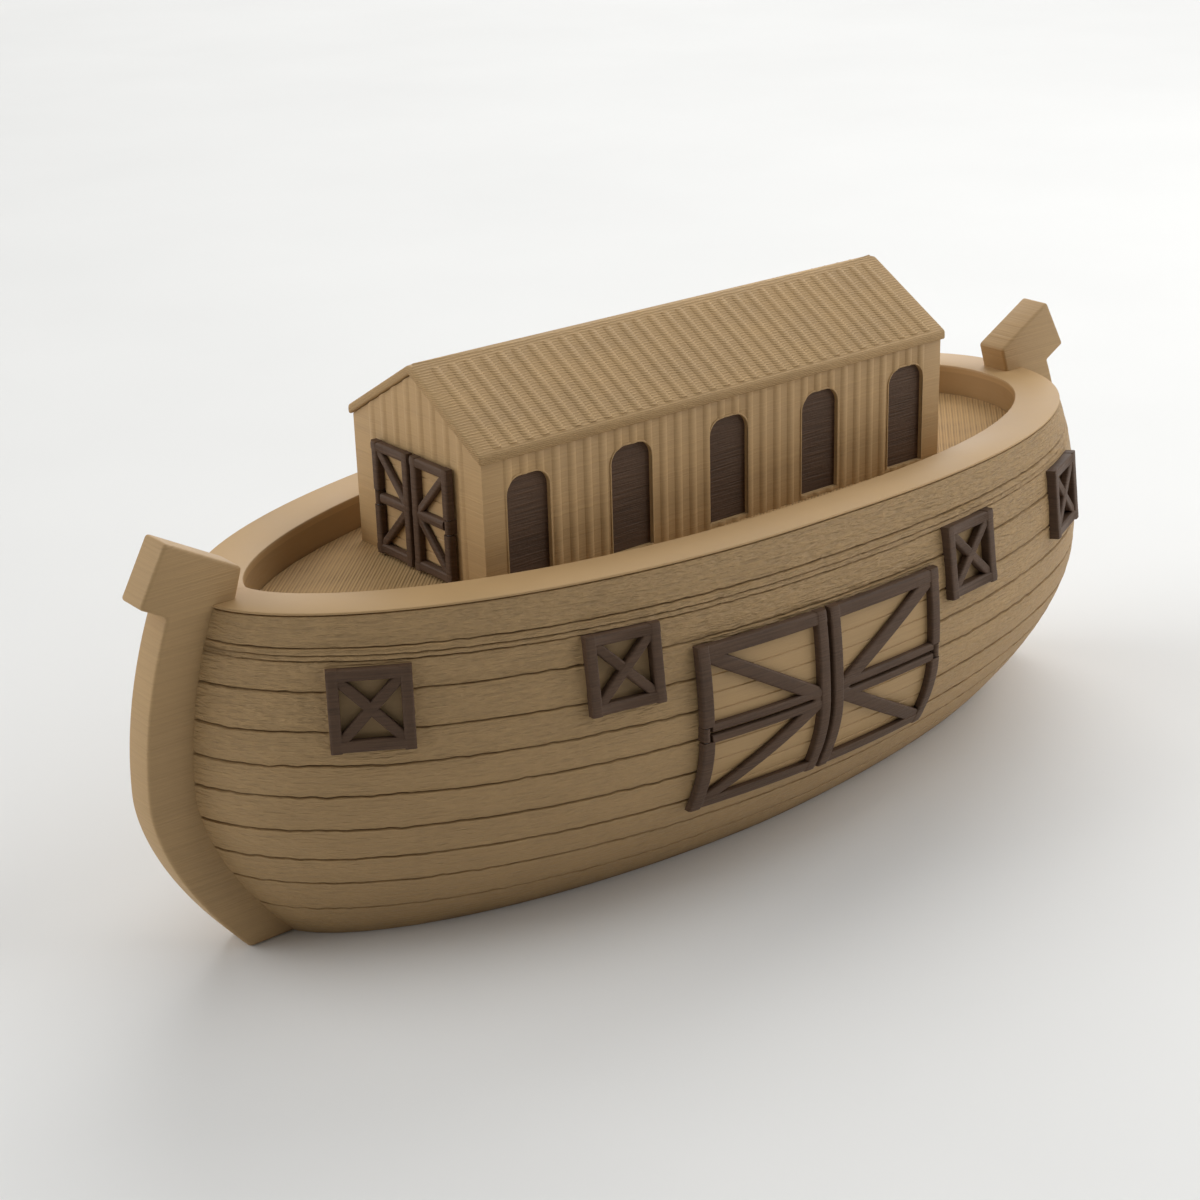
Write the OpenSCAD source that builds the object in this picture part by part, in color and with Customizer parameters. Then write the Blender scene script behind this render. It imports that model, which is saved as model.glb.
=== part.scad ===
// Toy ark, in millimetres. X runs from bow to stern, Z is up, and the cargo doors face -Y.
/* [Hull] */
// Length of the hull at its widest level, without the posts
hull_length = 148.6; // [136:0.2:170]
// Beam of the hull at its widest level
hull_beam = 65.6; // [58:0.2:76]
// Height of the top of the rail above the ground
rail_top = 46; // [44:0.5:52]
// Height of the hull's widest level above the ground
bulge_height = 23; // [20:0.5:26]
// How far each end draws in from the widest level up to the rail
end_tumblehome = 4.8; // [3:0.1:7]
// How far each side draws in from the widest level up to the rail
side_tumblehome = 3.6; // [2:0.1:5]
// How far each end draws in from the widest level down to the ground
end_rise = 11.4; // [8:0.1:14]
// How far each side draws in from the widest level down to the ground
bilge_rise = 13; // [9:0.1:15]
// Thickness of the shell around the hold
shell = 2.4; // [2:0.1:3]
// Thickness of the hull's floor
floor_thickness = 3; // [2:0.1:5]
// Widths of the planks from the rail down; the lowest plank takes what is left
plank_widths = [4.8, 5.2, 4.7, 4.2, 3.9, 4.6, 4.5, 4.3, 5.1]; // [3:0.1:6]
// Width of the groove between two planks
seam_width = 0.6; // [0.3:0.1:1]
// Depth of the groove between two planks
seam_depth = 0.45; // [0.2:0.05:0.6]
// How far the plank seams climb towards the ends
sheer = 1.3; // [0:0.1:2]

/* [Rail and deck] */
// Width of the flat rail
rail_width = 6.4; // [5:0.1:8]
// Thickness of the rail
rail_thickness = 1; // [0.6:0.1:1.6]
// How far the rail stands out over the hull's side
rail_lip = 0.2; // [0.1:0.05:1]
// Depth of the deck below the top of the rail
deck_drop = 4.4; // [3:0.1:5]
// Thickness of the deck
deck_thickness = 1.5; // [1:0.1:2.5]
// Width of the ledge that carries the deck
ledge_width = 2; // [1.2:0.1:3]
// Thickness of that ledge
ledge_thickness = 2; // [1.5:0.1:3]

/* [Posts] */
// Thickness of the stem and stern posts
post_thickness = 4.8; // [4:0.1:7]
// How far the posts stand out from the hull's ends
post_proud = 5.7; // [4:0.1:8]
// How deep the posts are let into the hull's ends
post_depth = 3.4; // [2.5:0.1:4.5]
// Length of a post's head along its sloping top
head_length = 11; // [10:0.1:12.5]
// Height of a post's head, square to its top
head_height = 8.2; // [6:0.1:9]
// Slope of a post's head, falling inboard
head_slope = 29.4; // [24:0.2:34]
// How far the head's lower corner hangs out in front of its post
head_overhang = 3.35; // [2:0.05:5]

/* [House] */
// Length of the house
house_length = 77.8; // [70:0.2:86]
// Place of the house's middle along the hull, from the hull's own middle
house_station = 0.5; // [-2:0.1:2]
// Width of the house
house_width = 27.6; // [26:0.2:31]
// Height of the house's walls from the deck to the eaves
wall_height = 17; // [16.5:0.1:20]
// Thickness of the house's walls
wall_thickness = 2; // [1.8:0.1:2.6]
// Spacing of the battens along the house and on its roof
batten_pitch = 2.42; // [2:0.01:3.5]
// Spacing of the battens on the gables
gable_batten_pitch = 2.7; // [2:0.05:4]
// Width of a batten
batten_width = 1.5; // [0.8:0.05:1.9]
// How far a batten stands out
batten_proud = 0.2; // [0.15:0.05:0.35]
// Width of the plain board at each corner of the house
corner_board = 1.8; // [1:0.1:3]
// Width and height of the sill on the deck that the house drops over
sill_size = 1.2; // [0.8:0.1:2]

/* [Roof] */
// Height of the ridge above the eaves
roof_rise = 8.3; // [6:0.1:11]
// Height of the roof's edge, and its thickness upright
fascia = 1.3; // [1:0.05:2]
// How far the roof stands out past the walls
overhang = 0.5; // [0.4:0.05:1]
// Plain border round the battens on the roof
roof_border = 0.7; // [0.4:0.05:1.5]
// Plain strip on each side of the ridge
ridge_border = 1.6; // [1:0.1:3]
// Depth of the strips under the roof that keep it in place
roof_strip_depth = 2.5; // [1:0.1:4]
// Thickness of those strips
roof_strip_thickness = 1; // [0.6:0.1:1.5]

/* [Windows] */
// Number of arched windows along each side of the house
window_count = 5; // [3:1:5]
// Spacing of the windows
window_pitch = 16.1; // [14:0.1:17]
// Width of a window
window_width = 6.5; // [4:0.1:8]
// Height of a window
window_height = 14; // [10:0.1:15]
// Height of a window's foot above the deck
window_sill = 0.6; // [0.4:0.05:2]
// Radius of a window's upper corners
window_corner = 2.2; // [1:0.1:2.5]
// How far a window lies back from the wall
window_recess = 0.5; // [0.2:0.05:0.7]
// Thickness of a window panel
window_thickness = 1; // [0.6:0.05:1.1]

/* [Hatches] */
// Places of the hatches along the hull, bow to stern
hatch_stations = [-58.5, -29.7, 28, 54.6]; // [-60:0.1:60]
// Height of the hatches' middles above the ground
hatch_height = 34.9; // [33:0.1:37]
// Width and height of a hatch
hatch_size = 10; // [8:0.1:10.5]
// Width of the bars of a hatch frame
hatch_bar = 1.4; // [1:0.05:2]
// How far a hatch frame stands out from the hull
hatch_proud = 1.1; // [0.6:0.05:2]
// Depth of the pocket that a hatch sits in
hatch_pocket = 1.2; // [0.9:0.05:1.4]
// Thickness of a hatch panel
hatch_panel_thickness = 0.9; // [0.5:0.05:1.1]

/* [Cargo doors] */
// Width of the pair of cargo doors
cargo_width = 40.8; // [36:0.1:42]
// Height of the cargo doors
cargo_height = 22.9; // [18:0.1:23.5]
// Height of their lower edge above the ground
cargo_bottom = 12.7; // [12:0.1:14]
// Width of the bars of the cargo doors
cargo_bar = 1.7; // [1.5:0.05:2.2]
// Width of the braces of the cargo doors
cargo_brace = 2; // [1.5:0.05:2.4]
// Height of each of the two middle rails of a cargo door
cargo_rail = 1.1; // [0.8:0.05:1.4]
// Slot between those two rails
cargo_slot = 0.4; // [0.2:0.05:0.8]

/* [Cabin doors] */
// Width of the pair of cabin doors
cabin_width = 16.4; // [14:0.1:18]
// Height of the cabin doors
cabin_height = 14.9; // [12:0.1:15]
// Height of their lower edge above the deck
cabin_step = 0.4; // [0.2:0.05:1]
// Width of the bars of the cabin doors
cabin_bar = 1.4; // [1.4:0.05:1.8]
// Width of the braces of the cabin doors
cabin_brace = 1; // [0.7:0.05:1.5]

/* [Door hinges] */
// Thickness of a door's bars
leaf_thickness = 1; // [0.9:0.05:1.4]
// Thickness of a door's panel
panel_thickness = 1.5; // [1:0.05:1.7]
// Space between a closed door's bars and the wall
leaf_gap = 0.35; // [0.3:0.05:0.6]
// Space between the two leaves of a pair
pair_gap = 0.6; // [0.5:0.05:1]
// Lap of the bars over the edge of the doorway
jamb_lap = 1.2; // [1.15:0.05:1.4]
// Distance of the hinge axis from a leaf's outer edge
axis_inset = 0.6; // [0.5:0.05:0.7]
// Radius of a hinge pin
pin_radius = 0.3; // [0.2:0.05:0.3]
// Length of a hinge pin
pin_length = 5; // [4:0.1:5.4]
// Radius of a hinge knuckle
knuckle_radius = 0.5; // [0.4:0.05:0.5]
// Height of a hinge knuckle
knuckle_height = 1.8; // [1.4:0.1:3]
// Depth that a knuckle's tail is let into the wall
knuckle_seat = 1.2; // [0.8:0.05:1.6]

/* [Clearances] */
// Room between a moving leaf and what it swings past
swing_clearance = 0.15; // [0.1:0.01:0.25]
// Room round a door panel in its doorway
panel_clearance = 0.25; // [0.2:0.01:0.4]
// Running clearance of a pin in a leaf, on the radius
pin_clearance = 0.05; // [0.02:0.01:0.08]
// Room round pieces that drop into place
seat_clearance = 0.1; // [0.05:0.01:0.2]

/* [Hidden] */
$fn = 48;
tan_plastic = "#b08c5c";
brown_plastic = "#5a423b";
stations = 26;
hold_levels = 6;
door_columns = 6;
door_rows = 10;
post_steps = 24;
// Powers and roundings that give the hull its finer bow and its stern, fuller at the rail than at the keel
bow_power = 2;
bow_round = 0.555;
stern_power = 2.75;
stern_keel_power = 1.55;
stern_round = 0.46;
bilge_power = 1.8;
rise_power = 1.7;
// Share of the hull's length at which its ends are cut square behind the posts
end_cut = 0.999;
// Least half width of an outline at its ends
end_flat = 0.2;
// Points across a batten, as shares of its half width and of its height
batten_profile = [[-1, 0], [-0.5, 0.75], [0, 1], [0.5, 0.75], [1, 0]];
// Depth that the foot of a batten is sunk into its wall
batten_sink = 0.05;
// Height over which the sheer fades out below the rail and above the ground
sheer_fade = 5;
small = 0.01;
through = 20;

hull_top = rail_top - rail_thickness;
deck_top = rail_top - deck_drop;
deck_underside = deck_top - deck_thickness;
ledge_underside = deck_underside - ledge_thickness;
eaves = deck_top + wall_height;
roof_half_width = house_width / 2 + overhang;
roof_length = house_length + 2 * overhang;
roof_angle = atan(roof_rise / roof_half_width);
slope_length = roof_half_width / cos(roof_angle);
leaf_offset = leaf_gap + leaf_thickness / 2;
panel_edge = jamb_lap + panel_clearance;
cargo_middle = cargo_bottom + cargo_height / 2;
cargo_rises = [-1, 1] * (cargo_rail + cargo_slot) / 2;
cabin_bottom = deck_top + cabin_step;
cabin_middle = cabin_bottom + cabin_height / 2;
SIDES = ["p", "s"];
HATCHES = [for (side = [0, 1], i = [0 : len(hatch_stations) - 1]) [side, i]];
WINDOWS = [for (side = [0, 1], i = [0 : window_count - 1]) [side, i]];
LEAVES = ["fore", "aft"];
CABIN_LEAVES = ["port", "starboard"];

function tag(place) = str(SIDES[place[0]], place[1] + 1);

// Hull form
function draw_in(z, above, below, power) = z > bulge_height
    ? above * pow((z - bulge_height) / (rail_top - bulge_height), 2)
    : below * pow((bulge_height - z) / bulge_height, power);
function side_half(z) = hull_beam / 2 - draw_in(z, side_tumblehome, bilge_rise, bilge_power);
function end_half(z) = hull_length / 2 - draw_in(z, end_tumblehome, end_rise, rise_power);
function stern_run(z) = stern_keel_power + (stern_power - stern_keel_power) * z / rail_top;
function fullness(u, z) = u < 0
    ? pow(max(0, 1 - pow(-u, bow_power)), bow_round)
    : pow(max(0, 1 - pow(u, stern_run(z))), stern_round);
function half_breadth(x, z) = side_half(z) * fullness(x / end_half(z), z);
function slope_along(x, z) = (half_breadth(x + small, z) - half_breadth(x - small, z)) / (2 * small);
function slope_up(x, z) = (half_breadth(x, z + small) - half_breadth(x, z - small)) / (2 * small);

// Rings of the hull, each run from bow to stern along the port side and back
function station(i) = -end_cut * cos(180 * i / stations);
function both_sides(port) = concat(
    [for (p = port) [p.x, -p.y, p.z]],
    [for (i = [stations : -1 : 0]) port[i]]);
// Height of the seam under a plank, counted from the rail down
function seam_height(i) = i < 0 ? rail_top : seam_height(i - 1) - plank_widths[i];
function lift(h) = sheer * max(0, min(1, (hull_top - h) / sheer_fade, h / sheer_fade));
function plank_ring(h, groove) = both_sides([
    for (i = [0 : stations])
        let (u = station(i), z = h + lift(h) * u * u)
        [u * end_half(z), side_half(z) * fullness(u, z) - groove, z]]);
function hold_ring(z) = both_sides([
    for (i = [0 : stations])
        let (u = station(i))
        [u * (end_half(z) - post_depth - shell), (side_half(z) - shell) * fullness(u, z), z]]);

// Outline of the rail, drawn in by an even distance all round
function rail_point(u) = [
    u * (end_half(rail_top) + rail_lip),
    (side_half(rail_top) + rail_lip) * fullness(u, rail_top)];
function rail_tangent(u) =
    let (step = rail_point(min(1, u + small)) - rail_point(max(-1, u - small))) step / norm(step);
function rail_ring(inset, z) = both_sides([
    for (i = [0 : stations])
        let (u = station(i), p = rail_point(u), t = rail_tangent(u))
        [p.x + inset * t.y, max(end_flat, p.y - inset * t.x), z]]);
function rail_outline(inset) = [for (p = rail_ring(inset, 0)) [p.x, p.y]];

// The hull's skin: up the outside, over the top and down inside to the hold's floor
function hull_rings() = concat(
    [plank_ring(0, 0)],
    [for (i = [len(plank_widths) - 1 : -1 : 0], edge = [-1, 0, 1])
        plank_ring(seam_height(i) + edge * seam_width / 2, edge == 0 ? seam_depth : 0)],
    [plank_ring(hull_top, 0), rail_ring(rail_width, hull_top), rail_ring(rail_width, deck_underside)],
    [for (z = [deck_underside, ledge_underside]) rail_ring(rail_width + ledge_width, z)],
    [for (i = [hold_levels : -1 : 0])
        hold_ring(floor_thickness + (ledge_underside - floor_thickness) * i / hold_levels)]);

// Post profile, in plan x and height z
function post_front(z) = end_half(z) + post_proud;
head_corner = [post_front(rail_top) + head_overhang, rail_top + head_overhang * tan(head_slope)];
head_peak = head_corner + head_height * [-sin(head_slope), cos(head_slope)];
head_tail = head_peak - head_length * [cos(head_slope), sin(head_slope)];
post_back = [for (i = [0 : post_steps])
    let (z = rail_top * i / post_steps) [end_half(z) - post_depth, z]];
post_profile = concat(
    [head_tail, head_peak, head_corner],
    [for (i = [post_steps : -1 : 0]) let (z = rail_top * i / post_steps) [post_front(z), z]],
    post_back);
// The slot for a post is open above, below and in front
post_slot = concat(
    [[hull_length, rail_top + through], [hull_length, -through], [post_back[0].x, -through]],
    post_back,
    [[post_back[post_steps].x, rail_top + through]]);

// A closed solid through rings of equal length, listed from the bottom up
module loft(rings) {
    n = len(rings[0]);
    top = len(rings) - 1;
    polyhedron(
        points = [for (r = rings, p = r) p],
        faces = concat(
            [[for (k = [0 : n - 1]) k]],
            [for (j = [0 : top - 1], k = [0 : n - 1], half = [0, 1])
                let (a = j * n + k, b = j * n + (k + 1) % n)
                half == 0 ? [a, a + n, b + n] : [a, b + n, b]],
            [[for (k = [n - 1 : -1 : 0]) top * n + k]]));
}

// A layer over the hull's port side between two distances from its planking
module side_layer(x0, x1, z0, z1, inner, outer) {
    points = [
        for (offset = [outer, inner], j = [0 : door_rows], i = [0 : door_columns])
            let (x = x0 + (x1 - x0) * i / door_columns, z = z0 + (z1 - z0) * j / door_rows)
            [x, -half_breadth(x, z) - offset, z]];
    across = door_columns + 1;
    sheet = across * (door_rows + 1);
    rim = concat(
        [for (i = [0 : door_columns]) i],
        [for (j = [1 : door_rows]) j * across + door_columns],
        [for (i = [door_columns - 1 : -1 : 0]) door_rows * across + i],
        [for (j = [door_rows - 1 : -1 : 1]) j * across]);
    polyhedron(points, concat(
        [for (j = [0 : door_rows - 1], i = [0 : door_columns - 1], half = [0, 1])
            let (a = j * across + i, b = a + 1, c = a + across, d = c + 1)
            half == 0 ? [a, c, d] : [a, d, b]],
        [for (j = [0 : door_rows - 1], i = [0 : door_columns - 1], half = [0, 1])
            let (a = sheet + j * across + i, b = a + 1, c = a + across, d = c + 1)
            half == 0 ? [a, d, c] : [a, b, d]],
        [for (k = [0 : len(rim) - 1], half = [0, 1])
            let (a = rim[k], b = rim[(k + 1) % len(rim)])
            half == 0 ? [a, b, sheet + b] : [a, sheet + b, sheet + a]]));
}

// Draws a flat shape upright, facing -Y, and gives it a depth towards -Y
module upright(depth) {
    rotate([90, 0, 0]) linear_extrude(depth) children();
}

module strut(from, to, width) {
    run = to - from;
    translate(from) rotate(atan2(run.y, run.x)) translate([0, -width / 2]) square([norm(run), width]);
}

// Places children on the planking, with -Y outwards and +Z up the side
module on_planking(place) {
    x = hatch_stations[place[1]];
    along = slope_along(x, hatch_height);
    up = slope_up(x, hatch_height);
    mirror([0, place[0], 0])
        translate([x, -half_breadth(x, hatch_height), hatch_height])
            rotate([atan2(up, norm([along, 1])), 0, -atan(along)]) children();
}

// Flat patterns of a door leaf, hinged at x = 0, with its lower edge at y = 0
module leaf_bars(width, height, bar, brace, rail_bar, rail_rises) {
    middle = height / 2;
    difference() {
        square([width, height]);
        translate([bar, bar]) square([width - 2 * bar, height - 2 * bar]);
    }
    for (rise = rail_rises) translate([0, middle + rise - rail_bar / 2]) square([width, rail_bar]);
    for (corner = [bar / 2, height - bar / 2])
        strut([bar / 2, corner], [width - bar / 2, middle], brace);
}

module leaf_board(width, height) {
    translate([panel_edge, panel_edge]) square([width - panel_edge - pair_gap / 2, height - 2 * panel_edge]);
}

// Upright notch that a leaf needs round its knuckle, on the hinge axis
module knuckle_room() {
    reach = knuckle_radius + swing_clearance;
    tall = knuckle_height + 2 * swing_clearance;
    translate([-through, -through / 2, -tall / 2]) cube([through + reach, through, tall]);
}

module hinge_bore() {
    cylinder(h = pin_length + 2 * swing_clearance, r = pin_radius + pin_clearance, center = true);
}

// Tail of a knuckle, from its axis back into the wall
module knuckle_tail(depth) {
    translate([-knuckle_radius, 0, -knuckle_height / 2])
        cube([knuckle_radius + jamb_lap - axis_inset, depth, knuckle_height]);
}

module hinge_knuckle() {
    color(brown_plastic) difference() {
        union() {
            cylinder(h = knuckle_height, r = knuckle_radius, center = true);
            knuckle_tail(leaf_offset + knuckle_seat);
        }
        cylinder(h = knuckle_height + small, r = pin_radius, center = true);
    }
}

module hinge_pin() {
    color("silver") cylinder(h = pin_length, r = pin_radius, center = true);
}

// Cargo doors: each leaf is drawn for the stern half and mirrored for the bow half
function cargo_surface(leaf) =
    let (x = cargo_width / 2 - axis_inset) half_breadth(leaf == 0 ? -x : x, cargo_middle);
module cargo_axis(leaf) {
    x = (leaf * 2 - 1) * (cargo_width / 2 - axis_inset);
    translate([x, -cargo_surface(leaf) - leaf_offset, cargo_middle]) mirror([leaf, 0, 0]) children();
}

module cargo_flat(leaf) {
    mirror([leaf, 0, 0]) translate([-cargo_width / 2, (through - hull_beam) / 2, cargo_bottom])
        upright(through) children();
}

module cargo_layer(leaf, inner, outer) {
    near = leaf == 0 ? -cargo_width / 2 - small : 0;
    side_layer(near, near + cargo_width / 2 + small, cargo_bottom - small,
        cargo_bottom + cargo_height + small, inner, outer);
}

module cargo_frame(leaf) {
    width = (cargo_width - pair_gap) / 2;
    color(brown_plastic) difference() {
        intersection() {
            cargo_layer(leaf, leaf_gap, leaf_gap + leaf_thickness);
            cargo_flat(leaf)
                leaf_bars(width, cargo_height, cargo_bar, cargo_brace, cargo_rail, cargo_rises);
        }
        cargo_axis(leaf) {
            knuckle_room();
            hinge_bore();
        }
    }
}

module cargo_panel(leaf) {
    width = (cargo_width - pair_gap) / 2;
    color(tan_plastic) intersection() {
        cargo_layer(leaf, leaf_gap - panel_thickness, leaf_gap);
        cargo_flat(leaf) leaf_board(width, cargo_height);
    }
}

module cargo_knuckle(leaf) {
    cargo_axis(leaf) hinge_knuckle();
}

module cargo_pin(leaf) {
    cargo_axis(leaf) hinge_pin();
}

module cargo_doorway() {
    translate([0, (through - hull_beam) / 2, cargo_middle]) upright(through)
        square([cargo_width - 2 * jamb_lap, cargo_height - 2 * jamb_lap], center = true);
}

// Cabin doors: drawn on the gable seen from the bow, port leaf first
module on_gable() {
    translate([house_station - house_length / 2, 0, 0]) rotate([0, 0, -90]) children();
}

module cabin_axis(leaf) {
    on_gable() translate([(1 - leaf * 2) * (cabin_width / 2 - axis_inset), -leaf_offset, cabin_middle])
        mirror([1 - leaf, 0, 0]) children();
}

module cabin_flat(leaf, offset, depth) {
    on_gable() mirror([1 - leaf, 0, 0])
        translate([-cabin_width / 2, -offset, cabin_bottom]) upright(depth) children();
}

module cabin_frame(leaf) {
    width = (cabin_width - pair_gap) / 2;
    color(brown_plastic) difference() {
        cabin_flat(leaf, leaf_gap, leaf_thickness)
            leaf_bars(width, cabin_height, cabin_bar, cabin_brace, cabin_bar, [0]);
        cabin_axis(leaf) {
            knuckle_room();
            hinge_bore();
        }
    }
}

module cabin_panel(leaf) {
    width = (cabin_width - pair_gap) / 2;
    color(tan_plastic) cabin_flat(leaf, leaf_gap - panel_thickness, panel_thickness)
        leaf_board(width, cabin_height);
}

module cabin_knuckle(leaf) {
    cabin_axis(leaf) hinge_knuckle();
}

module cabin_pin(leaf) {
    cabin_axis(leaf) hinge_pin();
}

module cabin_doorway() {
    on_gable() translate([0, wall_thickness + small, cabin_middle]) upright(through)
        square([cabin_width - 2 * jamb_lap, cabin_height - 2 * jamb_lap], center = true);
}

// Hatches
module hatch_square(margin) {
    square(hatch_size - 2 * margin, center = true);
}

module hatch_cross() {
    corner = (hatch_size - hatch_bar) / 2;
    difference() {
        hatch_square(0);
        hatch_square(hatch_bar);
    }
    for (turn = [-1, 1]) strut([-corner, -corner * turn], [corner, corner * turn], hatch_bar);
}

module hatch_frame(place) {
    seat = hatch_pocket - hatch_panel_thickness;
    color(brown_plastic) on_planking(place)
        translate([0, seat, 0]) upright(seat + hatch_proud) hatch_cross();
}

module hatch_panel(place) {
    color(tan_plastic) on_planking(place)
        translate([0, hatch_pocket, 0]) upright(hatch_panel_thickness) hatch_square(0);
}

module hatch_pocket_cut(place) {
    on_planking(place) translate([0, hatch_pocket, 0]) upright(hatch_pocket + hatch_proud) hatch_square(0);
}

// Posts
module post_plate(profile) {
    translate([0, post_thickness / 2, 0]) upright(post_thickness) polygon(profile);
}

module both_posts(profile) {
    post_plate(profile);
    mirror([1, 0, 0]) post_plate(profile);
}

module stem_post() {
    color(tan_plastic) mirror([1, 0, 0]) post_plate(post_profile);
}

module stern_post() {
    color(tan_plastic) post_plate(post_profile);
}

// Hull, rail and deck
module hull() {
    color(tan_plastic) difference() {
        loft(hull_rings());
        both_posts(post_slot);
        cargo_doorway();
        for (place = HATCHES) hatch_pocket_cut(place);
        for (leaf = [0, 1]) cargo_axis(leaf) knuckle_tail(leaf_offset + knuckle_seat);
    }
}

module rail() {
    color(tan_plastic) difference() {
        translate([0, 0, hull_top]) linear_extrude(rail_thickness) difference() {
            polygon(rail_outline(0));
            polygon(rail_outline(rail_width));
        }
        both_posts(post_slot);
    }
}

module deck() {
    inside = [house_length, house_width] - 2 * (wall_thickness + seat_clearance) * [1, 1];
    color(tan_plastic) {
        translate([0, 0, deck_underside]) linear_extrude(deck_thickness)
            polygon(rail_outline(rail_width + seat_clearance));
        translate([house_station, 0, deck_top - small]) linear_extrude(sill_size + small) difference() {
            square(inside, center = true);
            square(inside - 2 * sill_size * [1, 1], center = true);
        }
    }
}

// House
module window_shape() {
    half = window_width / 2 - window_corner;
    translate([-window_width / 2, 0]) square([window_width, window_height - window_corner]);
    translate([-half, 0]) square([2 * half, window_height]);
    for (side = [-1, 1]) translate([side * half, window_height - window_corner]) circle(window_corner);
}

// Places children on a long wall of the house, with -Y outwards and z = 0 at the windows' feet
module on_long_wall(place) {
    x = house_station + (place[1] - (window_count - 1) / 2) * window_pitch;
    mirror([0, place[0], 0]) translate([x, -house_width / 2, deck_top + window_sill]) children();
}

module window(place) {
    color(brown_plastic) on_long_wall(place)
        translate([0, window_recess + window_thickness, 0]) upright(window_thickness) window_shape();
}

module window_cut(place) {
    depth = window_recess + window_thickness;
    on_long_wall(place) translate([0, depth, 0]) upright(depth + batten_proud + small) window_shape();
}

// A row of rounded battens along X, standing out towards -Y, with a strip behind to join them
module batten_row(length, pitch, backing) {
    count = floor(length / pitch);
    first = -(count - 1) / 2 * pitch;
    polygon(concat(
        [[first - pitch, backing]],
        [for (i = [0 : count - 1], p = batten_profile)
            [first + i * pitch + p.x * batten_width / 2, p.y == 0 ? batten_sink : -p.y * batten_proud]],
        [[-first + pitch, backing]]));
}

// Gable outline of the house under its roof, in y and z
function gable_outline(margin) =
    let (half = house_width / 2 + margin, slope = tan(roof_angle),
        top = eaves - seat_clearance + (overhang - margin) * slope)
    [[-half, deck_top], [half, deck_top], [half, top], [0, top + half * slope], [-half, top]];

module along_house(length) {
    translate([house_station - length / 2, 0, 0]) rotate([90, 0, 90]) linear_extrude(length) children();
}

module house_walls() {
    tall = wall_height + roof_rise;
    backing = wall_thickness / 2;
    translate([house_station, 0, deck_top]) linear_extrude(tall) {
        square([house_length, house_width], center = true);
        for (turn = [0, 180]) rotate(turn) {
            translate([0, -house_width / 2])
                batten_row(house_length - 2 * corner_board, batten_pitch, backing);
            translate([house_length / 2, 0]) rotate(90)
                batten_row(house_width - 2 * corner_board, gable_batten_pitch, backing);
        }
    }
}

module house_room() {
    translate([house_station, 0, deck_top - small]) linear_extrude(wall_height + roof_rise)
        square([house_length, house_width] - 2 * wall_thickness * [1, 1], center = true);
}

// Plain face round the cabin doors, where the battens stop
module cabin_surround() {
    on_gable() translate([-cabin_width / 2 - swing_clearance, -batten_proud - small, deck_top - small])
        cube([cabin_width + 2 * swing_clearance, batten_proud + small,
            cabin_height + cabin_step + swing_clearance]);
}

module house() {
    color(tan_plastic) difference() {
        intersection() {
            house_walls();
            along_house(house_length + 2 * batten_proud) polygon(gable_outline(batten_proud));
        }
        house_room();
        for (place = WINDOWS) window_cut(place);
        cabin_surround();
        cabin_doorway();
        for (leaf = [0, 1]) cabin_axis(leaf) knuckle_tail(leaf_offset + knuckle_seat);
    }
}

// Roof
module roof_slab() {
    w = roof_half_width;
    along_house(roof_length) polygon([
        [-w, eaves], [0, eaves + roof_rise], [w, eaves], [w, eaves + fascia],
        [0, eaves + roof_rise + fascia], [-w, eaves + fascia]]);
}

// Battens of one slope, run from the eaves nearly to the ridge
module slope_battens() {
    translate([house_station, -roof_half_width, eaves + fascia]) rotate([roof_angle, 0, 0])
        translate([0, roof_border, 0]) rotate([-90, 0, 0])
            linear_extrude(slope_length - roof_border - ridge_border)
                batten_row(roof_length - 2 * roof_border, batten_pitch, fascia / 2);
}

// Strips under the roof, just inside the long walls
module roof_strips() {
    room = house_width / 2 - wall_thickness - seat_clearance;
    long = house_length - 2 * (wall_thickness + seat_clearance);
    inner = room - roof_strip_thickness;
    low = eaves - roof_strip_depth;
    for (side = [0, 1]) mirror([0, side, 0]) along_house(long) polygon([
        [inner, low], [room, low],
        [room, eaves + (roof_half_width - room) * tan(roof_angle) + small],
        [inner, eaves + (roof_half_width - inner) * tan(roof_angle) + small]]);
}

module roof() {
    color(tan_plastic) {
        roof_slab();
        for (side = [0, 1]) mirror([0, side, 0]) slope_battens();
        roof_strips();
    }
}

hull();
rail();
deck();
stem_post();
stern_post();
house();
roof();
for (h = HATCHES) hatch_frame(h);
for (h = HATCHES) hatch_panel(h);
for (w = WINDOWS) window(w);
for (i = [0, 1]) cargo_frame(i);
for (i = [0, 1]) cargo_panel(i);
for (i = [0, 1]) cargo_knuckle(i);
for (i = [0, 1]) cargo_pin(i);
for (i = [0, 1]) cabin_frame(i);
for (i = [0, 1]) cabin_panel(i);
for (i = [0, 1]) cabin_knuckle(i);
for (i = [0, 1]) cabin_pin(i);
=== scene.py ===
"""Dresses the toy ark: planked hull, rail, posts, house, roof, hatches and doors."""
import math
from collections import namedtuple

import bpy
from bpy.props import FloatProperty, FloatVectorProperty, PointerProperty
from mathutils import Euler, Matrix, Vector, noise


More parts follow.
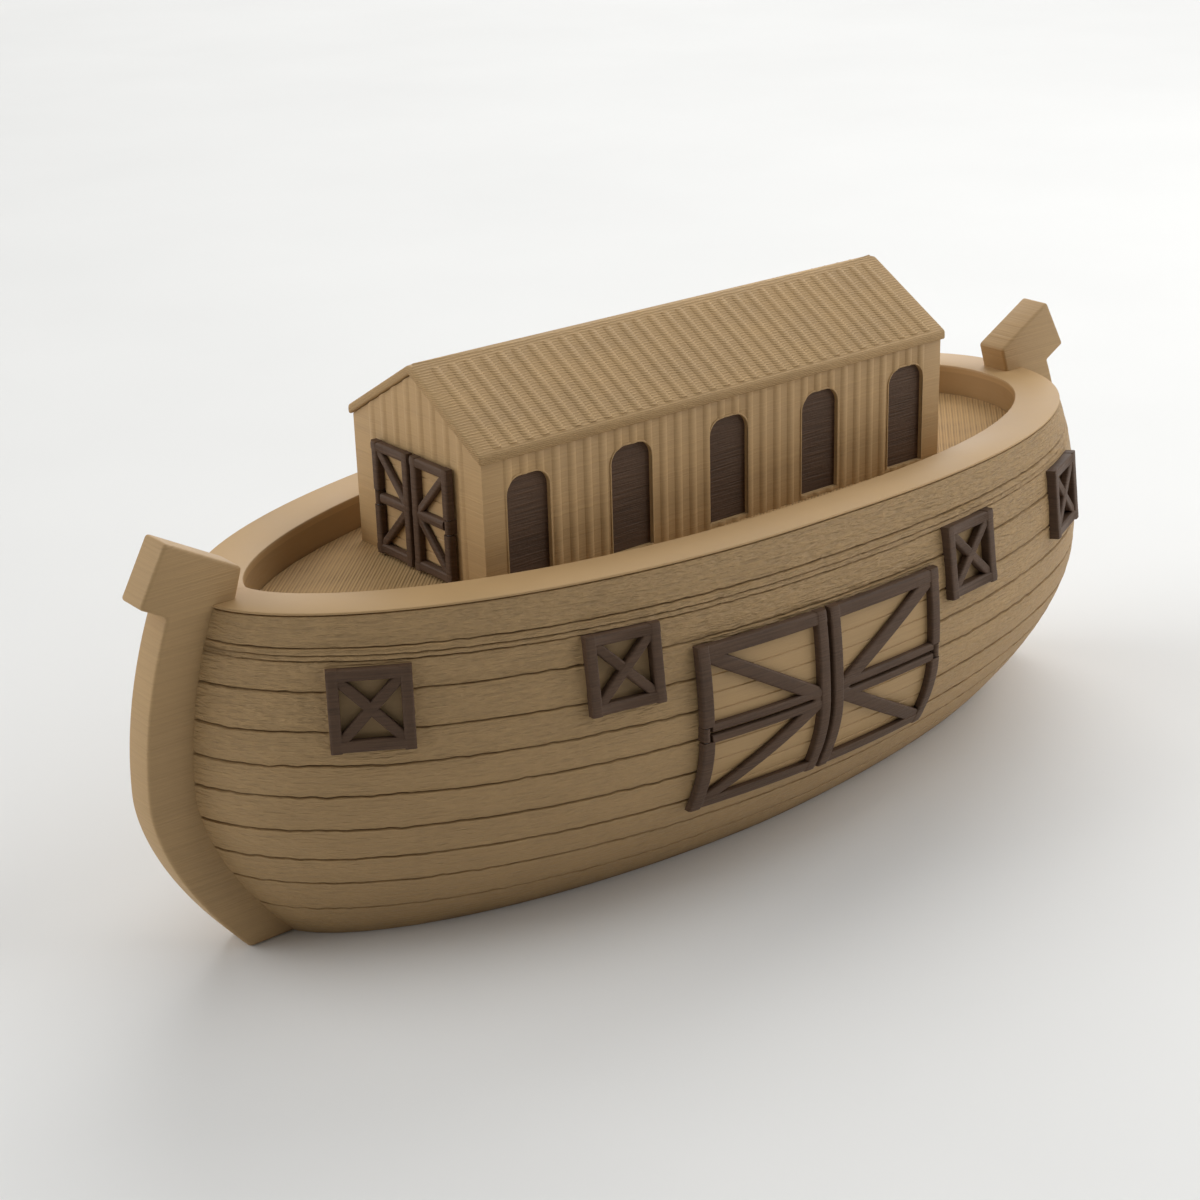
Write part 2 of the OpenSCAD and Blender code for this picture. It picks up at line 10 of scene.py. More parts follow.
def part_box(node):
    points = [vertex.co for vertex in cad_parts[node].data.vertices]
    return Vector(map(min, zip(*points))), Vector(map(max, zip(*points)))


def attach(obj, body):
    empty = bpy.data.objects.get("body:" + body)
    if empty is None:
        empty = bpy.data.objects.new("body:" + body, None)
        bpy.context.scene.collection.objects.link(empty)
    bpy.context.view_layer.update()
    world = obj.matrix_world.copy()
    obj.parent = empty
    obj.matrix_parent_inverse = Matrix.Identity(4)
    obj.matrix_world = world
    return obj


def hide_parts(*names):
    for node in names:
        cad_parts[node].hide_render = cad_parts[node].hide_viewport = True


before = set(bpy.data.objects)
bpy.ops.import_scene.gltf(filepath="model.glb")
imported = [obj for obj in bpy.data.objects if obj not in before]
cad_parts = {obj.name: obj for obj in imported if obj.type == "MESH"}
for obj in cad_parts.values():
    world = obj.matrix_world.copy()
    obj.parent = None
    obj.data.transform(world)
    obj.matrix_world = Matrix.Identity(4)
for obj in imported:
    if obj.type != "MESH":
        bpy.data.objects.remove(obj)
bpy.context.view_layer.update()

bl_info = {
    "name": "Toy Ark",
    "version": (1, 0, 0),
    "blender": (4, 5, 0),
    "location": "View3D > Sidebar > Ark",
    "description": "Models the pieces of a printed toy ark around its frame",
    "category": "Object",
}

MM = 0.001
PORT, STARBOARD = -1, 1
# Distances at which points count as one, and the turn up to which faces count as one flat
SEAM_MERGE, NODE_MERGE = 1e-7, 1e-6
FLAT_ANGLE = math.radians(0.5)
# Steps round the edge of a bar
BAR_TURNS = 4


def length(label, words, millimetres):
    """A distance that shows in the sidebar, given here in millimetres."""
    return FloatProperty(name=label, description=words, default=millimetres * MM,
                         unit="LENGTH", subtype="DISTANCE", precision=5)


def power(label, words, watts):
    """The power of a lamp, as it shows in the sidebar."""
    return FloatProperty(name=label, description=words, default=watts, min=0, unit="POWER")


def colour(label, words, red, green, blue):
    """A colour that shows in the sidebar, given here as it looks, from 0 to 255."""
    linear = []
    for value in (red, green, blue):
        share = value / 255
        linear.append(share / 12.92 if share <= 0.04045 else ((share + 0.055) / 1.055) ** 2.4)
    return FloatVectorProperty(name=label, description=words, default=linear,
                               subtype="COLOR", size=3, min=0, max=1)


class ArkHullSizes(bpy.types.PropertyGroup):
    """Sizes of the hull, its planks, its rail and its posts"""
    length: length("Length", "Length of the hull at its widest level", 148.6)
    beam: length("Beam", "Beam of the hull at its widest level", 65.6)
    rail_top: length("Rail top", "Height of the top of the rail", 46)
    bulge: length("Bulge", "Height of the hull's widest level", 23)
    end_tumblehome: length("End tumblehome", "How far the ends draw in up to the rail", 4.8)
    side_tumblehome: length("Side tumblehome", "How far the sides draw in up to the rail", 3.6)
    end_rise: length("End rise", "How far the ends draw in down to the ground", 11.4)
    bilge_rise: length("Bilge rise", "How far the sides draw in down to the ground", 13)
    shell: length("Shell", "Thickness of the shell round the hold", 2.4)
    floor: length("Floor", "Thickness of the hull's floor", 3)
    sheer: length("Sheer", "How far the seams climb towards the ends", 1.3)
    seam_depth: length("Seam depth", "Depth of the groove between two planks", 0.45)
    seam_wander: length("Seam wander", "How far a seam strays from a fair line", 0.2)
    plank_crown: length("Plank crown", "How far a plank's middle stands out", 0.07)
    rail_width: length("Rail width", "Width of the flat rail", 6.4)
    rail_lip: length("Rail lip", "How far the rail stands out over the side", 0.2)
    rail_thickness: length("Rail thickness", "Thickness of the rail", 1)
    rail_groove: length("Rail groove", "Drop from the rail's top to the planking's upper edge", 0.5)
    deck_drop: length("Deck drop", "Depth of the deck below the rail", 4.4)
    deck_thickness: length("Deck thickness", "Thickness of the deck", 1.5)
    ledge: length("Ledge", "Width and thickness of the ledge under the deck", 2)
    post_thickness: length("Post thickness", "Thickness of the stem and stern posts", 4.8)
    post_proud: length("Post proud", "How far the posts stand out from the ends", 5.7)
    post_depth: length("Post depth", "How deep the posts are let into the ends", 3.4)
    head_length: length("Head length", "Length of a post's head along its top", 11)
    head_height: length("Head height", "Height of a post's head", 8.2)
    head_overhang: length("Head overhang", "How far a head hangs out in front", 3.35)
    post_edge: length("Post edge", "Rounding of the posts' edges", 0.45)
    head_slope: FloatProperty(name="Head slope", description="Fall of a post's head inboard",
                              default=math.radians(29.4), unit="ROTATION", subtype="ANGLE")


class ArkFittingSizes(bpy.types.PropertyGroup):
    """Sizes of the hatches, doors and window rims"""
    hatch_stations: FloatVectorProperty(
        name="Hatch stations", description="Places of the hatches along the hull",
        default=(-0.0585, -0.0297, 0.028, 0.0546), size=4, unit="LENGTH", precision=5)
    hatch_height: length("Hatch height", "Height of the hatches' middles", 34.9)
    hatch_size: length("Hatch size", "Width and height of a hatch", 10)
    hatch_bar: length("Hatch bar", "Width of the bars of a hatch", 1.4)
    hatch_brace: length("Hatch brace", "Width of the braces of a hatch", 1.3)
    hatch_proud: length("Hatch proud", "How far a hatch stands out from the hull", 1.1)
    hatch_seat: length("Hatch seat", "How deep a hatch's bars sit in their pocket", 0.3)
    hatch_pocket: length("Hatch pocket", "Depth of the pocket a hatch sits in", 1.2)
    cargo_width: length("Cargo width", "Width of the pair of cargo doors", 40.8)
    cargo_height: length("Cargo height", "Height of the cargo doors", 22.9)
    cargo_bottom: length("Cargo bottom", "Height of the cargo doors' lower edge", 12.7)
    jamb_lap: length("Jamb lap", "Lap of the door bars over the doorway's edge", 1.2)
    leaf_gap: length("Leaf gap", "Space between a door's bars and the wall", 0.35)
    leaf_thickness: length("Leaf thickness", "Thickness of a door's bars", 1)
    panel_thickness: length("Panel thickness", "Thickness of a door's panel", 1.5)
    board_groove: length("Board groove", "Depth of the line between two boards", 0.14)
    board_line: length("Board line", "Half the width of that line", 0.13)
    cargo_board: length("Cargo board", "Width of the boards of the cargo doors", 2.3)
    cabin_board: length("Cabin board", "Width of the boards of the cabin doors", 2.4)
    cargo_bar: length("Cargo bar", "Width of the bars of the cargo doors", 1.7)
    cargo_brace: length("Cargo brace", "Width of the braces of the cargo doors", 1.9)
    cargo_rail: length("Cargo rail", "Height of each of a cargo door's middle rails", 1.1)
    cargo_slot: length("Cargo slot", "Space between those two rails", 0.4)
    cabin_bar: length("Cabin bar", "Width of the bars of the cabin doors", 1.28)
    cabin_brace: length("Cabin brace", "Width of the braces of the cabin doors", 1.1)
    bar_step: length("Bar step", "How far a rail lies back from the stiles", 0.05)
    brace_step: length("Brace step", "How far a brace lies back from the stiles", 0.18)
    knuckle_room: length("Knuckle room", "Room between a hinge knuckle and the bars", 0.15)
    rim_width: length("Rim width", "Width of the rim round a window", 0.2)
    rim_proud: length("Rim proud", "How far that rim stands out", 0.13)


class ArkFinishSettings(bpy.types.PropertyGroup):
    """Colours, printed lines and rounded edges"""
    tan: colour("Tan", "Wood-coloured plastic", 178, 146, 102)
    brown: colour("Brown", "Dark brown plastic", 86, 65, 49)
    steel: colour("Steel", "Wire of the hinge pins", 170, 170, 172)
    layer: length("Layer", "Height of one printed layer", 0.22)
    deck_line: length("Deck line", "Spacing of the lines on the deck", 0.41)
    edge: length("Edge", "Rounding of the tan pieces' edges", 0.18)
    bar_edge: length("Bar edge", "Rounding of the hatches' bars", 0.3)
    cargo_edge: length("Cargo edge", "Rounding of the cargo doors' bars", 0.3)
    cabin_edge: length("Cabin edge", "Rounding of the cabin doors' bars", 0.36)
    roof_edge: length("Roof edge", "Rounding of the roof over the gables", 0.35)
    ridge_edge: length("Ridge edge", "Rounding of the roof's ridge", 0.9)


class ArkStageSettings(bpy.types.PropertyGroup):
    """Floor, lights and camera"""
    floor: colour("Floor", "Pale floor", 230, 230, 228)
    sky: FloatProperty(name="Sky", description="Strength of the even light", default=0.09, min=0)
    bow_lamp: power("Bow lamp", "Power of the low lamp off the bow", 13.2)
    bow_back_lamp: power("Bow back lamp", "Power of the lamp behind the bow", 27)
    stern_lamp: power("Stern lamp", "Power of the lamp off the stern", 3.2)
    stern_back_lamp: power("Stern back lamp", "Power of the lamp behind the stern", 44)
    top_lamp: power("Top lamp", "Power of the lamp overhead", 10.5)
    eye: FloatVectorProperty(name="Eye", description="Place of the camera",
                             default=(-0.1869, -0.22601, 0.14711), subtype="TRANSLATION")
    turn: FloatVectorProperty(name="Turn", description="Turn of the camera",
                              default=[math.radians(a) for a in (67.710, 1.5695, -38.630)],
                              subtype="EULER")
    lens: FloatProperty(name="Lens", description="Focal length of the camera in millimetres",
                        default=69.383, unit="CAMERA")


class HullForm:
    """The outside of the hull, in metres: a finer bow, a fuller stern, a round bilge."""
    # Power and rounding of the plan curve towards each end, and its power at the stern's keel
    BOW = (2.0, 0.555)
    STERN = (2.75, 0.46)
    STERN_KEEL = 1.55
    BILGE_POWER = 1.8
    RISE_POWER = 1.7
    END_CUT = 0.999
    STATIONS = 230
    SLOPE_STEP = 0.01 * MM
    PLAN_STEP = 0.004
    LEAST_BREADTH = 0.2 * MM
    SHEER_FADE = 5 * MM

    def __init__(self, sizes):
        self.sizes = sizes
        self.hull_top = sizes.rail_top - sizes.rail_thickness
        self.plank_top = sizes.rail_top - sizes.rail_groove
        self.deck_top = sizes.rail_top - sizes.deck_drop
        self.stations = [-self.END_CUT * math.cos(math.pi * i / self.STATIONS)
                         for i in range(self.STATIONS + 1)]
        self.girth = self.measure_girth()

    def draw_in(self, z, above, below, power):
        """How far the hull draws in at a height, above or below its widest level."""
        s = self.sizes
        if z > s.bulge:
            return above * ((z - s.bulge) / (s.rail_top - s.bulge)) ** 2
        return below * ((s.bulge - max(0.0, z)) / s.bulge) ** power

    def side(self, z):
        """Half the beam at a height."""
        s = self.sizes
        return s.beam / 2 - self.draw_in(z, s.side_tumblehome, s.bilge_rise, self.BILGE_POWER)

    def end(self, z):
        """Half the length at a height."""
        s = self.sizes
        return s.length / 2 - self.draw_in(z, s.end_tumblehome, s.end_rise, self.RISE_POWER)

    def fullness(self, u, z):
        """Share of the half beam at a station; the stern is fuller at the rail than at the keel."""
        power, rounding = self.BOW if u < 0 else self.STERN
        if u > 0:
            power = self.STERN_KEEL + (power - self.STERN_KEEL) * z / self.sizes.rail_top
        return max(0.0, 1 - abs(u) ** power) ** rounding

    def half_breadth(self, x, z):
        """Distance of the side from the middle plane."""
        return self.side(z) * self.fullness(x / self.end(z), z)

    def slopes(self, x, z):
        """How fast the half breadth grows along the hull and up its side."""
        d = self.SLOPE_STEP
        along = (self.half_breadth(x + d, z) - self.half_breadth(x - d, z)) / (2 * d)
        up = (self.half_breadth(x, z + d) - self.half_breadth(x, z - d)) / (2 * d)
        return along, up

    def plan_point(self, u, z, half_length, half_beam, inset):
        """A point of the plan outline at one height, drawn in square to the outline."""
        low, high = max(-1.0, u - self.PLAN_STEP), min(1.0, u + self.PLAN_STEP)
        run = Vector((half_length * (high - low),
                      half_beam * (self.fullness(high, z) - self.fullness(low, z)))).normalized()
        return (u * half_length + inset * run.y,
                max(self.LEAST_BREADTH, half_beam * self.fullness(u, z) - inset * run.x))

    def rail_point(self, u, inset):
        """A point of the rail's outer edge, drawn in square to the edge."""
        s = self.sizes
        return self.plan_point(u, s.rail_top, self.end(s.rail_top) + s.rail_lip,
                               self.side(s.rail_top) + s.rail_lip, inset)

    def measure_girth(self):
        """Distance along the widest level from the middle station to each station."""
        s = self.sizes
        points = [Vector((u * s.length / 2, s.beam / 2 * self.fullness(u, s.bulge)))
                  for u in self.stations]
        run = [0.0]
        for a, b in zip(points, points[1:]):
            run.append(run[-1] + (b - a).length)
        middle = run[len(run) // 2]
        return [r - middle for r in run]

    def lift(self, z):
        """How far a seam climbs to the ends; the sheer fades out at the rail and the ground."""
        fade = min(1.0, (self.hull_top - z) / self.SHEER_FADE, z / self.SHEER_FADE)
        return self.sizes.sheer * max(0.0, fade)

    def both_sides(self, place):
        """A closed ring of places: along port to the stern, back along starboard."""
        count = len(self.stations)
        ring = [place(PORT, i) for i in range(count)]
        ring += [place(STARBOARD, i) for i in reversed(range(count))]
        return ring + ring[:1]

    def planking_frame(self, x, z, side):
        """Where a flat fitting sits on the planking: -Y outwards, +Z up the side."""
        along, up = self.slopes(x, z)
        turn = Euler((math.atan2(up, math.hypot(along, 1)), 0, -math.atan(along)))
        place = Matrix.Translation((x, -self.half_breadth(x, z), z)) @ turn.to_matrix().to_4x4()
        return place if side == PORT else Matrix.Scale(-1, 4, (0, 1, 0)) @ place


def deselect():
    """Leaves edit mode and selects nothing."""
    if bpy.context.mode != "OBJECT":
        bpy.ops.object.mode_set(mode="OBJECT")
    bpy.ops.object.select_all(action="DESELECT")


def select_only(piece):
    """Makes a piece the only one that an operator acts on."""
    deselect()
    piece.select_set(True)
    bpy.context.view_layer.objects.active = piece


def edit(piece):
    """Opens a piece in edit mode with all of it selected."""
    select_only(piece)
    bpy.ops.object.mode_set(mode="EDIT")
    bpy.ops.mesh.select_all(action="SELECT")


def apply(piece, kind, **settings):
    """Adds a modifier to a piece and applies it."""
    modifier = piece.modifiers.new(kind.title(), kind)
    for key, value in settings.items():
        setattr(modifier, key, value)
    select_only(piece)
    bpy.ops.object.modifier_apply(modifier=modifier.name)


def smooth(piece, degrees):
    """Shades a piece smooth wherever its faces turn less than an angle."""
    select_only(piece)
    bpy.ops.object.shade_smooth_by_angle(angle=math.radians(degrees))


def face_outwards():
    """Turns the faces of the piece that is open outwards and closes edit mode."""
    bpy.ops.mesh.select_all(action="SELECT")
    bpy.ops.mesh.normals_make_consistent(inside=False)
    bpy.ops.object.mode_set(mode="OBJECT")


def sheet(name, rows, pattern=None):
    """A grid primitive moved onto rows of places; pattern gives each place its own UV."""
    deselect()
    bpy.ops.mesh.primitive_grid_add(x_subdivisions=len(rows[0]) - 1,
                                    y_subdivisions=len(rows) - 1, size=1)
    piece = bpy.context.object
    piece.name = piece.data.name = name
    piece.data.vertices.foreach_set("co", [c for row in rows for place in row for c in place])
    if pattern:
        flat = [uv for row in pattern for uv in row]
        layer = piece.data.uv_layers.active.data
        for loop in piece.data.loops:
            layer[loop.index].uv = flat[loop.vertex_index]
    piece.data.update()
    return piece


def close_up(piece):
    """Merges the seam of a ring, fills its open ends and turns its faces outwards."""
    edit(piece)
    bpy.ops.mesh.remove_doubles(threshold=SEAM_MERGE)
    bpy.ops.mesh.select_all(action="SELECT")
    bpy.ops.mesh.fill_holes(sides=0)
    face_outwards()


def block(place, low, high):
    """A box between two corners of a local frame."""
    deselect()
    bpy.ops.mesh.primitive_cube_add(size=1)
    box = bpy.context.object
    low, high = Vector(low), Vector(high)
    box.matrix_world = (place @ Matrix.Translation((low + high) / 2)
                        @ Matrix.Diagonal((*(high - low), 1)))
    bpy.ops.object.transform_apply(location=True, rotation=True, scale=True)
    edit(box)
    face_outwards()
    return box


def join(pieces):
    """Makes the first of several pieces hold the others."""
    deselect()
    for piece in pieces:
        piece.select_set(True)
    bpy.context.view_layer.objects.active = pieces[0]
    bpy.ops.object.join()


def combine(piece, operation, tool):
    """Adds a solid to a piece or cuts it away, and removes the solid."""
    apply(piece, "BOOLEAN", operation=operation, solver="EXACT", object=tool)
    bpy.data.objects.remove(tool)


def linked(name, mesh):
    """A new piece with its own copy of a mesh."""
    piece = bpy.data.objects.new(name, mesh.copy())
    piece.data.name = name
    bpy.context.scene.collection.objects.link(piece)
    return piece


def flat_copy(node):
    """A copy of a CAD node with its triangles merged into flats."""
    piece = linked(node + "_eased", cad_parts[node].data)
    edit(piece)
    bpy.ops.mesh.remove_doubles(threshold=NODE_MERGE)
    bpy.ops.mesh.select_all(action="SELECT")
    bpy.ops.mesh.dissolve_limited(angle_limit=FLAT_ANGLE)
    bpy.ops.object.mode_set(mode="OBJECT")
    return piece


def ease(piece, edge):
    """Rounds the sharp edges of a piece."""
    apply(piece, "BEVEL", width=edge, segments=3, limit_method="ANGLE",
          angle_limit=math.radians(25), use_clamp_overlap=True)
    smooth(piece, 60)
    return piece


def round_edges(piece, width, segments, test):
    """Rounds the edges whose two ends pass a test."""
    edit(piece)
    bpy.ops.mesh.select_mode(type="EDGE")
    bpy.ops.mesh.select_all(action="DESELECT")
    bpy.ops.object.mode_set(mode="OBJECT")
    mesh = piece.data
    for edge in mesh.edges:
        edge.select = test(*(mesh.vertices[v].co for v in edge.vertices))
    bpy.ops.object.mode_set(mode="EDIT")
    bpy.ops.mesh.bevel(offset=width, segments=segments, affect="EDGES")
    bpy.ops.object.mode_set(mode="OBJECT")


def straight_bar(place, front, back, start, end, width, edge):
    """A bar between two places of a flat fitting, its long front edges rounded."""
    start, end = Vector((start[0], 0, start[1])), Vector((end[0], 0, end[1]))
    run = end - start
    middle = (place @ Matrix.Translation((start + end) / 2)
              @ Matrix.Rotation(-math.atan2(run.z, run.x), 4, "Y"))
    bar = block(middle, (-run.length / 2, front, -width / 2), (run.length / 2, back, width / 2))
    to_bar = middle.inverted()

    def along_front(first, second):
        first, second = to_bar @ first, to_bar @ second
        return max(first.y, second.y) < (front + back) / 2 and abs(second.x - first.x) > width / 2
    round_edges(bar, edge, BAR_TURNS, along_front)
    return bar


def unite(name, bars):
    """Makes one piece of a set of bars."""
    whole = bars[0]
    for bar in bars[1:]:
        combine(whole, "UNION", bar)
    whole.name = whole.data.name = name
    smooth(whole, 35)
    return whole


def hand_over(piece, body, finish, *nodes):
    """Gives a piece its finish and the body it moves with, and hides the nodes it stands for."""
    piece.data.materials.clear()
    piece.data.materials.append(finish_named(finish))
    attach(piece, body)
    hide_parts(*nodes)


def dress(node, finish):
    """Gives a CAD node that stays in view its finish."""
    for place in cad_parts[node].material_slots:
        place.material = finish_named(finish)


class Wire:
    """A shader socket that takes part in Python arithmetic."""

    def __init__(self, finish, socket):
        self.finish = finish
        self.socket = socket

    def maths(self, operation, *values):
        return self.finish.node("ShaderNodeMath", {"operation": operation},
                                dict(enumerate(values)))

    def __add__(self, other):
        return self.maths("ADD", self, other)

    def __sub__(self, other):
        return self.maths("SUBTRACT", self, other)

    def __rsub__(self, other):
        return self.maths("SUBTRACT", other, self)

    def __mul__(self, other):
        return self.maths("MULTIPLY", self, other)

    def __truediv__(self, other):
        return self.maths("DIVIDE", self, other)

    __radd__ = __add__
    __rmul__ = __mul__

    def wave(self):
        return self.maths("SINE", self)

    def clamp(self, low=0.0, high=1.0):
        return self.maths("MINIMUM", self.maths("MAXIMUM", self, low), high)

    def power(self, exponent):
        return self.maths("POWER", self, exponent)

    def axis(self, letter):
        return self.finish.node("ShaderNodeSeparateXYZ", {}, {0: self}, letter)


class Finish:
    """A material under construction, with one method that adds any node."""

    def __init__(self, name):
        self.material = bpy.data.materials.new(name)
        self.material.use_nodes = True
        self.tree = self.material.node_tree
        self.shader = self.tree.nodes["Principled BSDF"]

    def node(self, kind, settings, inputs, output=0):
        made = self.tree.nodes.new(kind)
        for key, value in settings.items():
            setattr(made, key, value)
        for key, value in inputs.items():
            self.feed(made.inputs[key], value)
        return Wire(self, made.outputs[output])

    def feed(self, socket, value):
        if isinstance(value, Wire):
            self.tree.links.new(value.socket, socket)
        else:
            socket.default_value = value

    def set(self, **sockets):
        for key, value in sockets.items():
            self.feed(self.shader.inputs[key.replace("_", " ")], value)

    def place(self):
        return self.node("ShaderNodeTexCoord", {}, {}, "Object")

    def pattern(self):
        return self.node("ShaderNodeUVMap", {}, {})

    def attribute(self, name):
        return self.node("ShaderNodeAttribute", {"attribute_name": name}, {}, "Fac")

    def scaled(self, vector, sizes):
        """A vector counted in patches of the given sizes, in millimetres."""
        rates = tuple(1 / (MM * size) for size in sizes)
        return self.node("ShaderNodeVectorMath", {"operation": "MULTIPLY"}, {0: vector, 1: rates})

    def noise(self, vector, sizes, detail=2.0, roughness=0.5):
        return self.node("ShaderNodeTexNoise", {}, {
            "Vector": self.scaled(vector, sizes), "Scale": 1.0, "Detail": detail,
            "Roughness": roughness}, "Fac")

    def streaks(self, vector, sizes, contrast):
        """Noise spread out until much of it is wholly light or wholly dark."""
        return ((self.noise(vector, sizes) - 0.5) * contrast + 0.5).clamp()

    def blend(self, factor, first, second):
        """Goes from one colour to another; a Mix node's colours are its sockets 6, 7 and 2."""
        return self.node("ShaderNodeMix", {"data_type": "RGBA"},
                         {0: factor, 6: first, 7: second}, 2)

    def tones(self, factor, rgb, dark, light):
        """Goes from a darker to a lighter tone of one colour."""
        return self.blend(factor, shade(rgb, dark), shade(rgb, light))

    def relief(self, height, depth, strength=1.0):
        """Turns a height into a normal; depth is the relief of a whole unit."""
        return self.node("ShaderNodeBump", {}, {
            "Height": height, "Distance": depth, "Strength": strength})


def shade(rgb, factor):
    """A colour made darker or lighter all over."""
    return tuple(min(1.0, c * factor) for c in rgb) + (1.0,)


def plank_plastic(settings):
    """Tan plastic moulded as rough-sawn planks, with the grain along each plank and painted shade
    in the seams.
    """
    f = Finish("plank_plastic")
    along, place = f.pattern(), f.place()
    z = place.axis("Z")
    dashes = f.streaks(along, (2.9, 0.44, 1), 3.0)
    flecks = f.streaks(along, (1.3, 0.3, 1), 3.0)
    strands = f.streaks(along, (14, 1.4 * settings.layer / MM, 1), 2.6)
    patches = f.noise(place, (10, 10, 5))
    # Painted shade for the grooves and fine scores, read from the hull's seam attribute
    seam = f.attribute("seam")
    # The grain gets coarser up the side, and the hold has none
    rough = ((z - 4 * MM) / (32 * MM)).clamp(0.65) * f.attribute("sawn")
    grain = (dashes * 0.4 + flecks * 0.35 + strands * 0.25 - 0.5) * rough
    tone = (grain * 0.7 + patches * 0.35 + 0.32).clamp()
    worn = f.tones(tone, settings.tan, 0.72, 1.13)
    f.set(Base_Color=f.blend((seam * 0.6).clamp(), worn, shade(settings.tan, 0.25)),
          Roughness=0.56 + dashes * 0.14, Specular_IOR_Level=0.4,
          Normal=f.relief(grain, 0.36 * MM))
    return f.material


def smooth_plastic(settings, name, tone, lines, bands):
    """Tan plastic with fine printed layers; lines is their depth, bands how far they show, and tone
    lightens or darkens the tan as painted light or shade.
    """
    f = Finish(name)
    place = f.place()
    layers = f.streaks(place, (30, 30, settings.layer / MM), 2.0)
    patches = f.noise(place, (9, 9, 5), 3.0)
    specks = f.noise(place, (1.2, 1.2, 0.6))
    mix = (patches * (1 - bands) + layers * bands).clamp()
    f.set(Base_Color=f.tones(mix, settings.tan, 0.86 * tone, 1.14 * tone),
          Roughness=0.5 + patches * 0.2, Specular_IOR_Level=0.4,
          Normal=f.relief(layers + specks * 0.5, lines))
    return f.material


def roof_plastic(settings):
    """Tan plastic whose printed layers show as terraces on a slope, with painted light on the steps
    and painted shade between them.
    """
    f = Finish("roof_plastic")
    place = f.place()
    drift = f.noise(place, (1.6, 1.6, 1.6), 3.0, 0.6)
    height = (place.axis("Z") + drift * (0.2 * MM)) * (2 * math.pi / settings.layer)
    ridge = (height.wave() * 0.5 + 0.5).power(2.0)
    patches = f.noise(place, (7, 7, 3))
    broken = f.streaks(place, (0.8, 0.8, 0.35), 2.4)
    steps = ridge * (broken * 0.85 + 0.15)
    # Painted light and shade: the terraces' steps lighten the tan, and the tan between them is
    # darker
    tone = (patches * 0.45 + steps * 0.75 - 0.02).clamp()
    f.set(Base_Color=f.tones(tone, settings.tan, 0.84, 1.3),
          Roughness=0.6 + patches * 0.16, Specular_IOR_Level=0.3,
          Normal=f.relief(steps, 0.1 * MM))
    return f.material


def deck_plastic(settings):
    """Tan plastic with the slanting lines of a printed top surface, the tan between them painted
    lighter as light and the lines painted darker as shade.
    """
    f = Finish("deck_plastic")
    place = f.place()
    slant = (place.axis("X") - place.axis("Y")) * math.sqrt(0.5)
    stray = f.noise(place, (5, 5, 5))
    run = (slant + stray * (0.1 * MM)) * (2 * math.pi / settings.deck_line)
    fine = (run.wave() * 0.5 + 0.5).power(3.0)
    bold = ((run * 0.5).wave() * 0.5 + 0.5).power(4.0)
    patches = f.noise(place, (8, 8, 8))
    worn = f.streaks(place, (6, 3, 6), 2.0) * 0.6 + 0.4
    groove = (fine * 0.6 + bold * 0.4) * worn
    # Painted light and shade: the tan between the lines is lightened, and the lines darken towards
    # a dark tan
    lit = f.tones(patches, settings.tan, 1.06, 1.28)
    f.set(Base_Color=f.blend(groove * 0.8, lit, shade(settings.tan, 0.36)),
          Roughness=0.7 + patches * 0.15, Specular_IOR_Level=0.15,
          Normal=f.relief(1 - groove, 0.09 * MM))
    return f.material


def brown_plastic(settings, name, streak):
    """Dark brown plastic with plain printed layers; streak is how far fine strands show."""
    f = Finish(name)
    place = f.place()
    layers = f.streaks(place, (7, 7, settings.layer / MM), 2.2)
    specks = f.noise(place, (0.7, 0.7, 0.5), 3.0, 0.6)
    patches = f.noise(place, (5, 5, 3))
    tone = (patches * 0.5 + (layers - 0.5) * streak + specks * 0.35 + 0.08).clamp()
    f.set(Base_Color=f.tones(tone, settings.brown, 0.68, 1.32),
          Roughness=0.5 + specks * 0.2, Specular_IOR_Level=0.28,
          Normal=f.relief(layers * streak + specks * 0.7, 0.07 * MM))
    return f.material


def pin_steel(settings):
    """Drawn steel wire with fine lines along it."""
    f = Finish("pin_steel")
    lines = f.noise(f.place(), (0.08, 0.08, 3))
    f.set(Base_Color=f.tones(lines, settings.steel, 0.8, 1.1),
          Metallic=1.0, Roughness=0.28 + lines * 0.2)
    return f.material


# Tone, depth of the printed lines in millimetres and how far they show, of each smooth finish
# The tones are painted light and shade: the rail and the walls lighter as painted light, the posts
# darker and the hatches' recessed panels much darker as painted shade
SMOOTH = {"rail": (1.08, 0.03, 0.35), "post": (0.96, 0.05, 0.5), "wall": (1.06, 0.03, 0.4),
          "panel": (1.0, 0.02, 0.3), "shutter": (0.76, 0.02, 0.3)}
FINISHES = {}


def finish_named(name):
    """Makes the finishes once and hands out the one that is asked for."""
    if not FINISHES:
        settings = bpy.context.scene.ark_finish
        for kind, (tone, lines, bands) in SMOOTH.items():
            FINISHES[kind] = smooth_plastic(settings, kind + "_plastic", tone, lines * MM, bands)
        FINISHES.update(
            planks=plank_plastic(settings),
            roof=roof_plastic(settings),
            deck=deck_plastic(settings),
            brown=brown_plastic(settings, "brown_plastic", 0.6),
            window=brown_plastic(settings, "window_plastic", 0.9),
            steel=pin_steel(settings))
    return FINISHES[name]


# A row of places along a plank: height, seams below and above it, share of the way up
# between them, share of the groove's depth, and depth of the fine score in millimetres
Row = namedtuple("Row", "height below above share groove score", defaults=(0.0, 0.0))


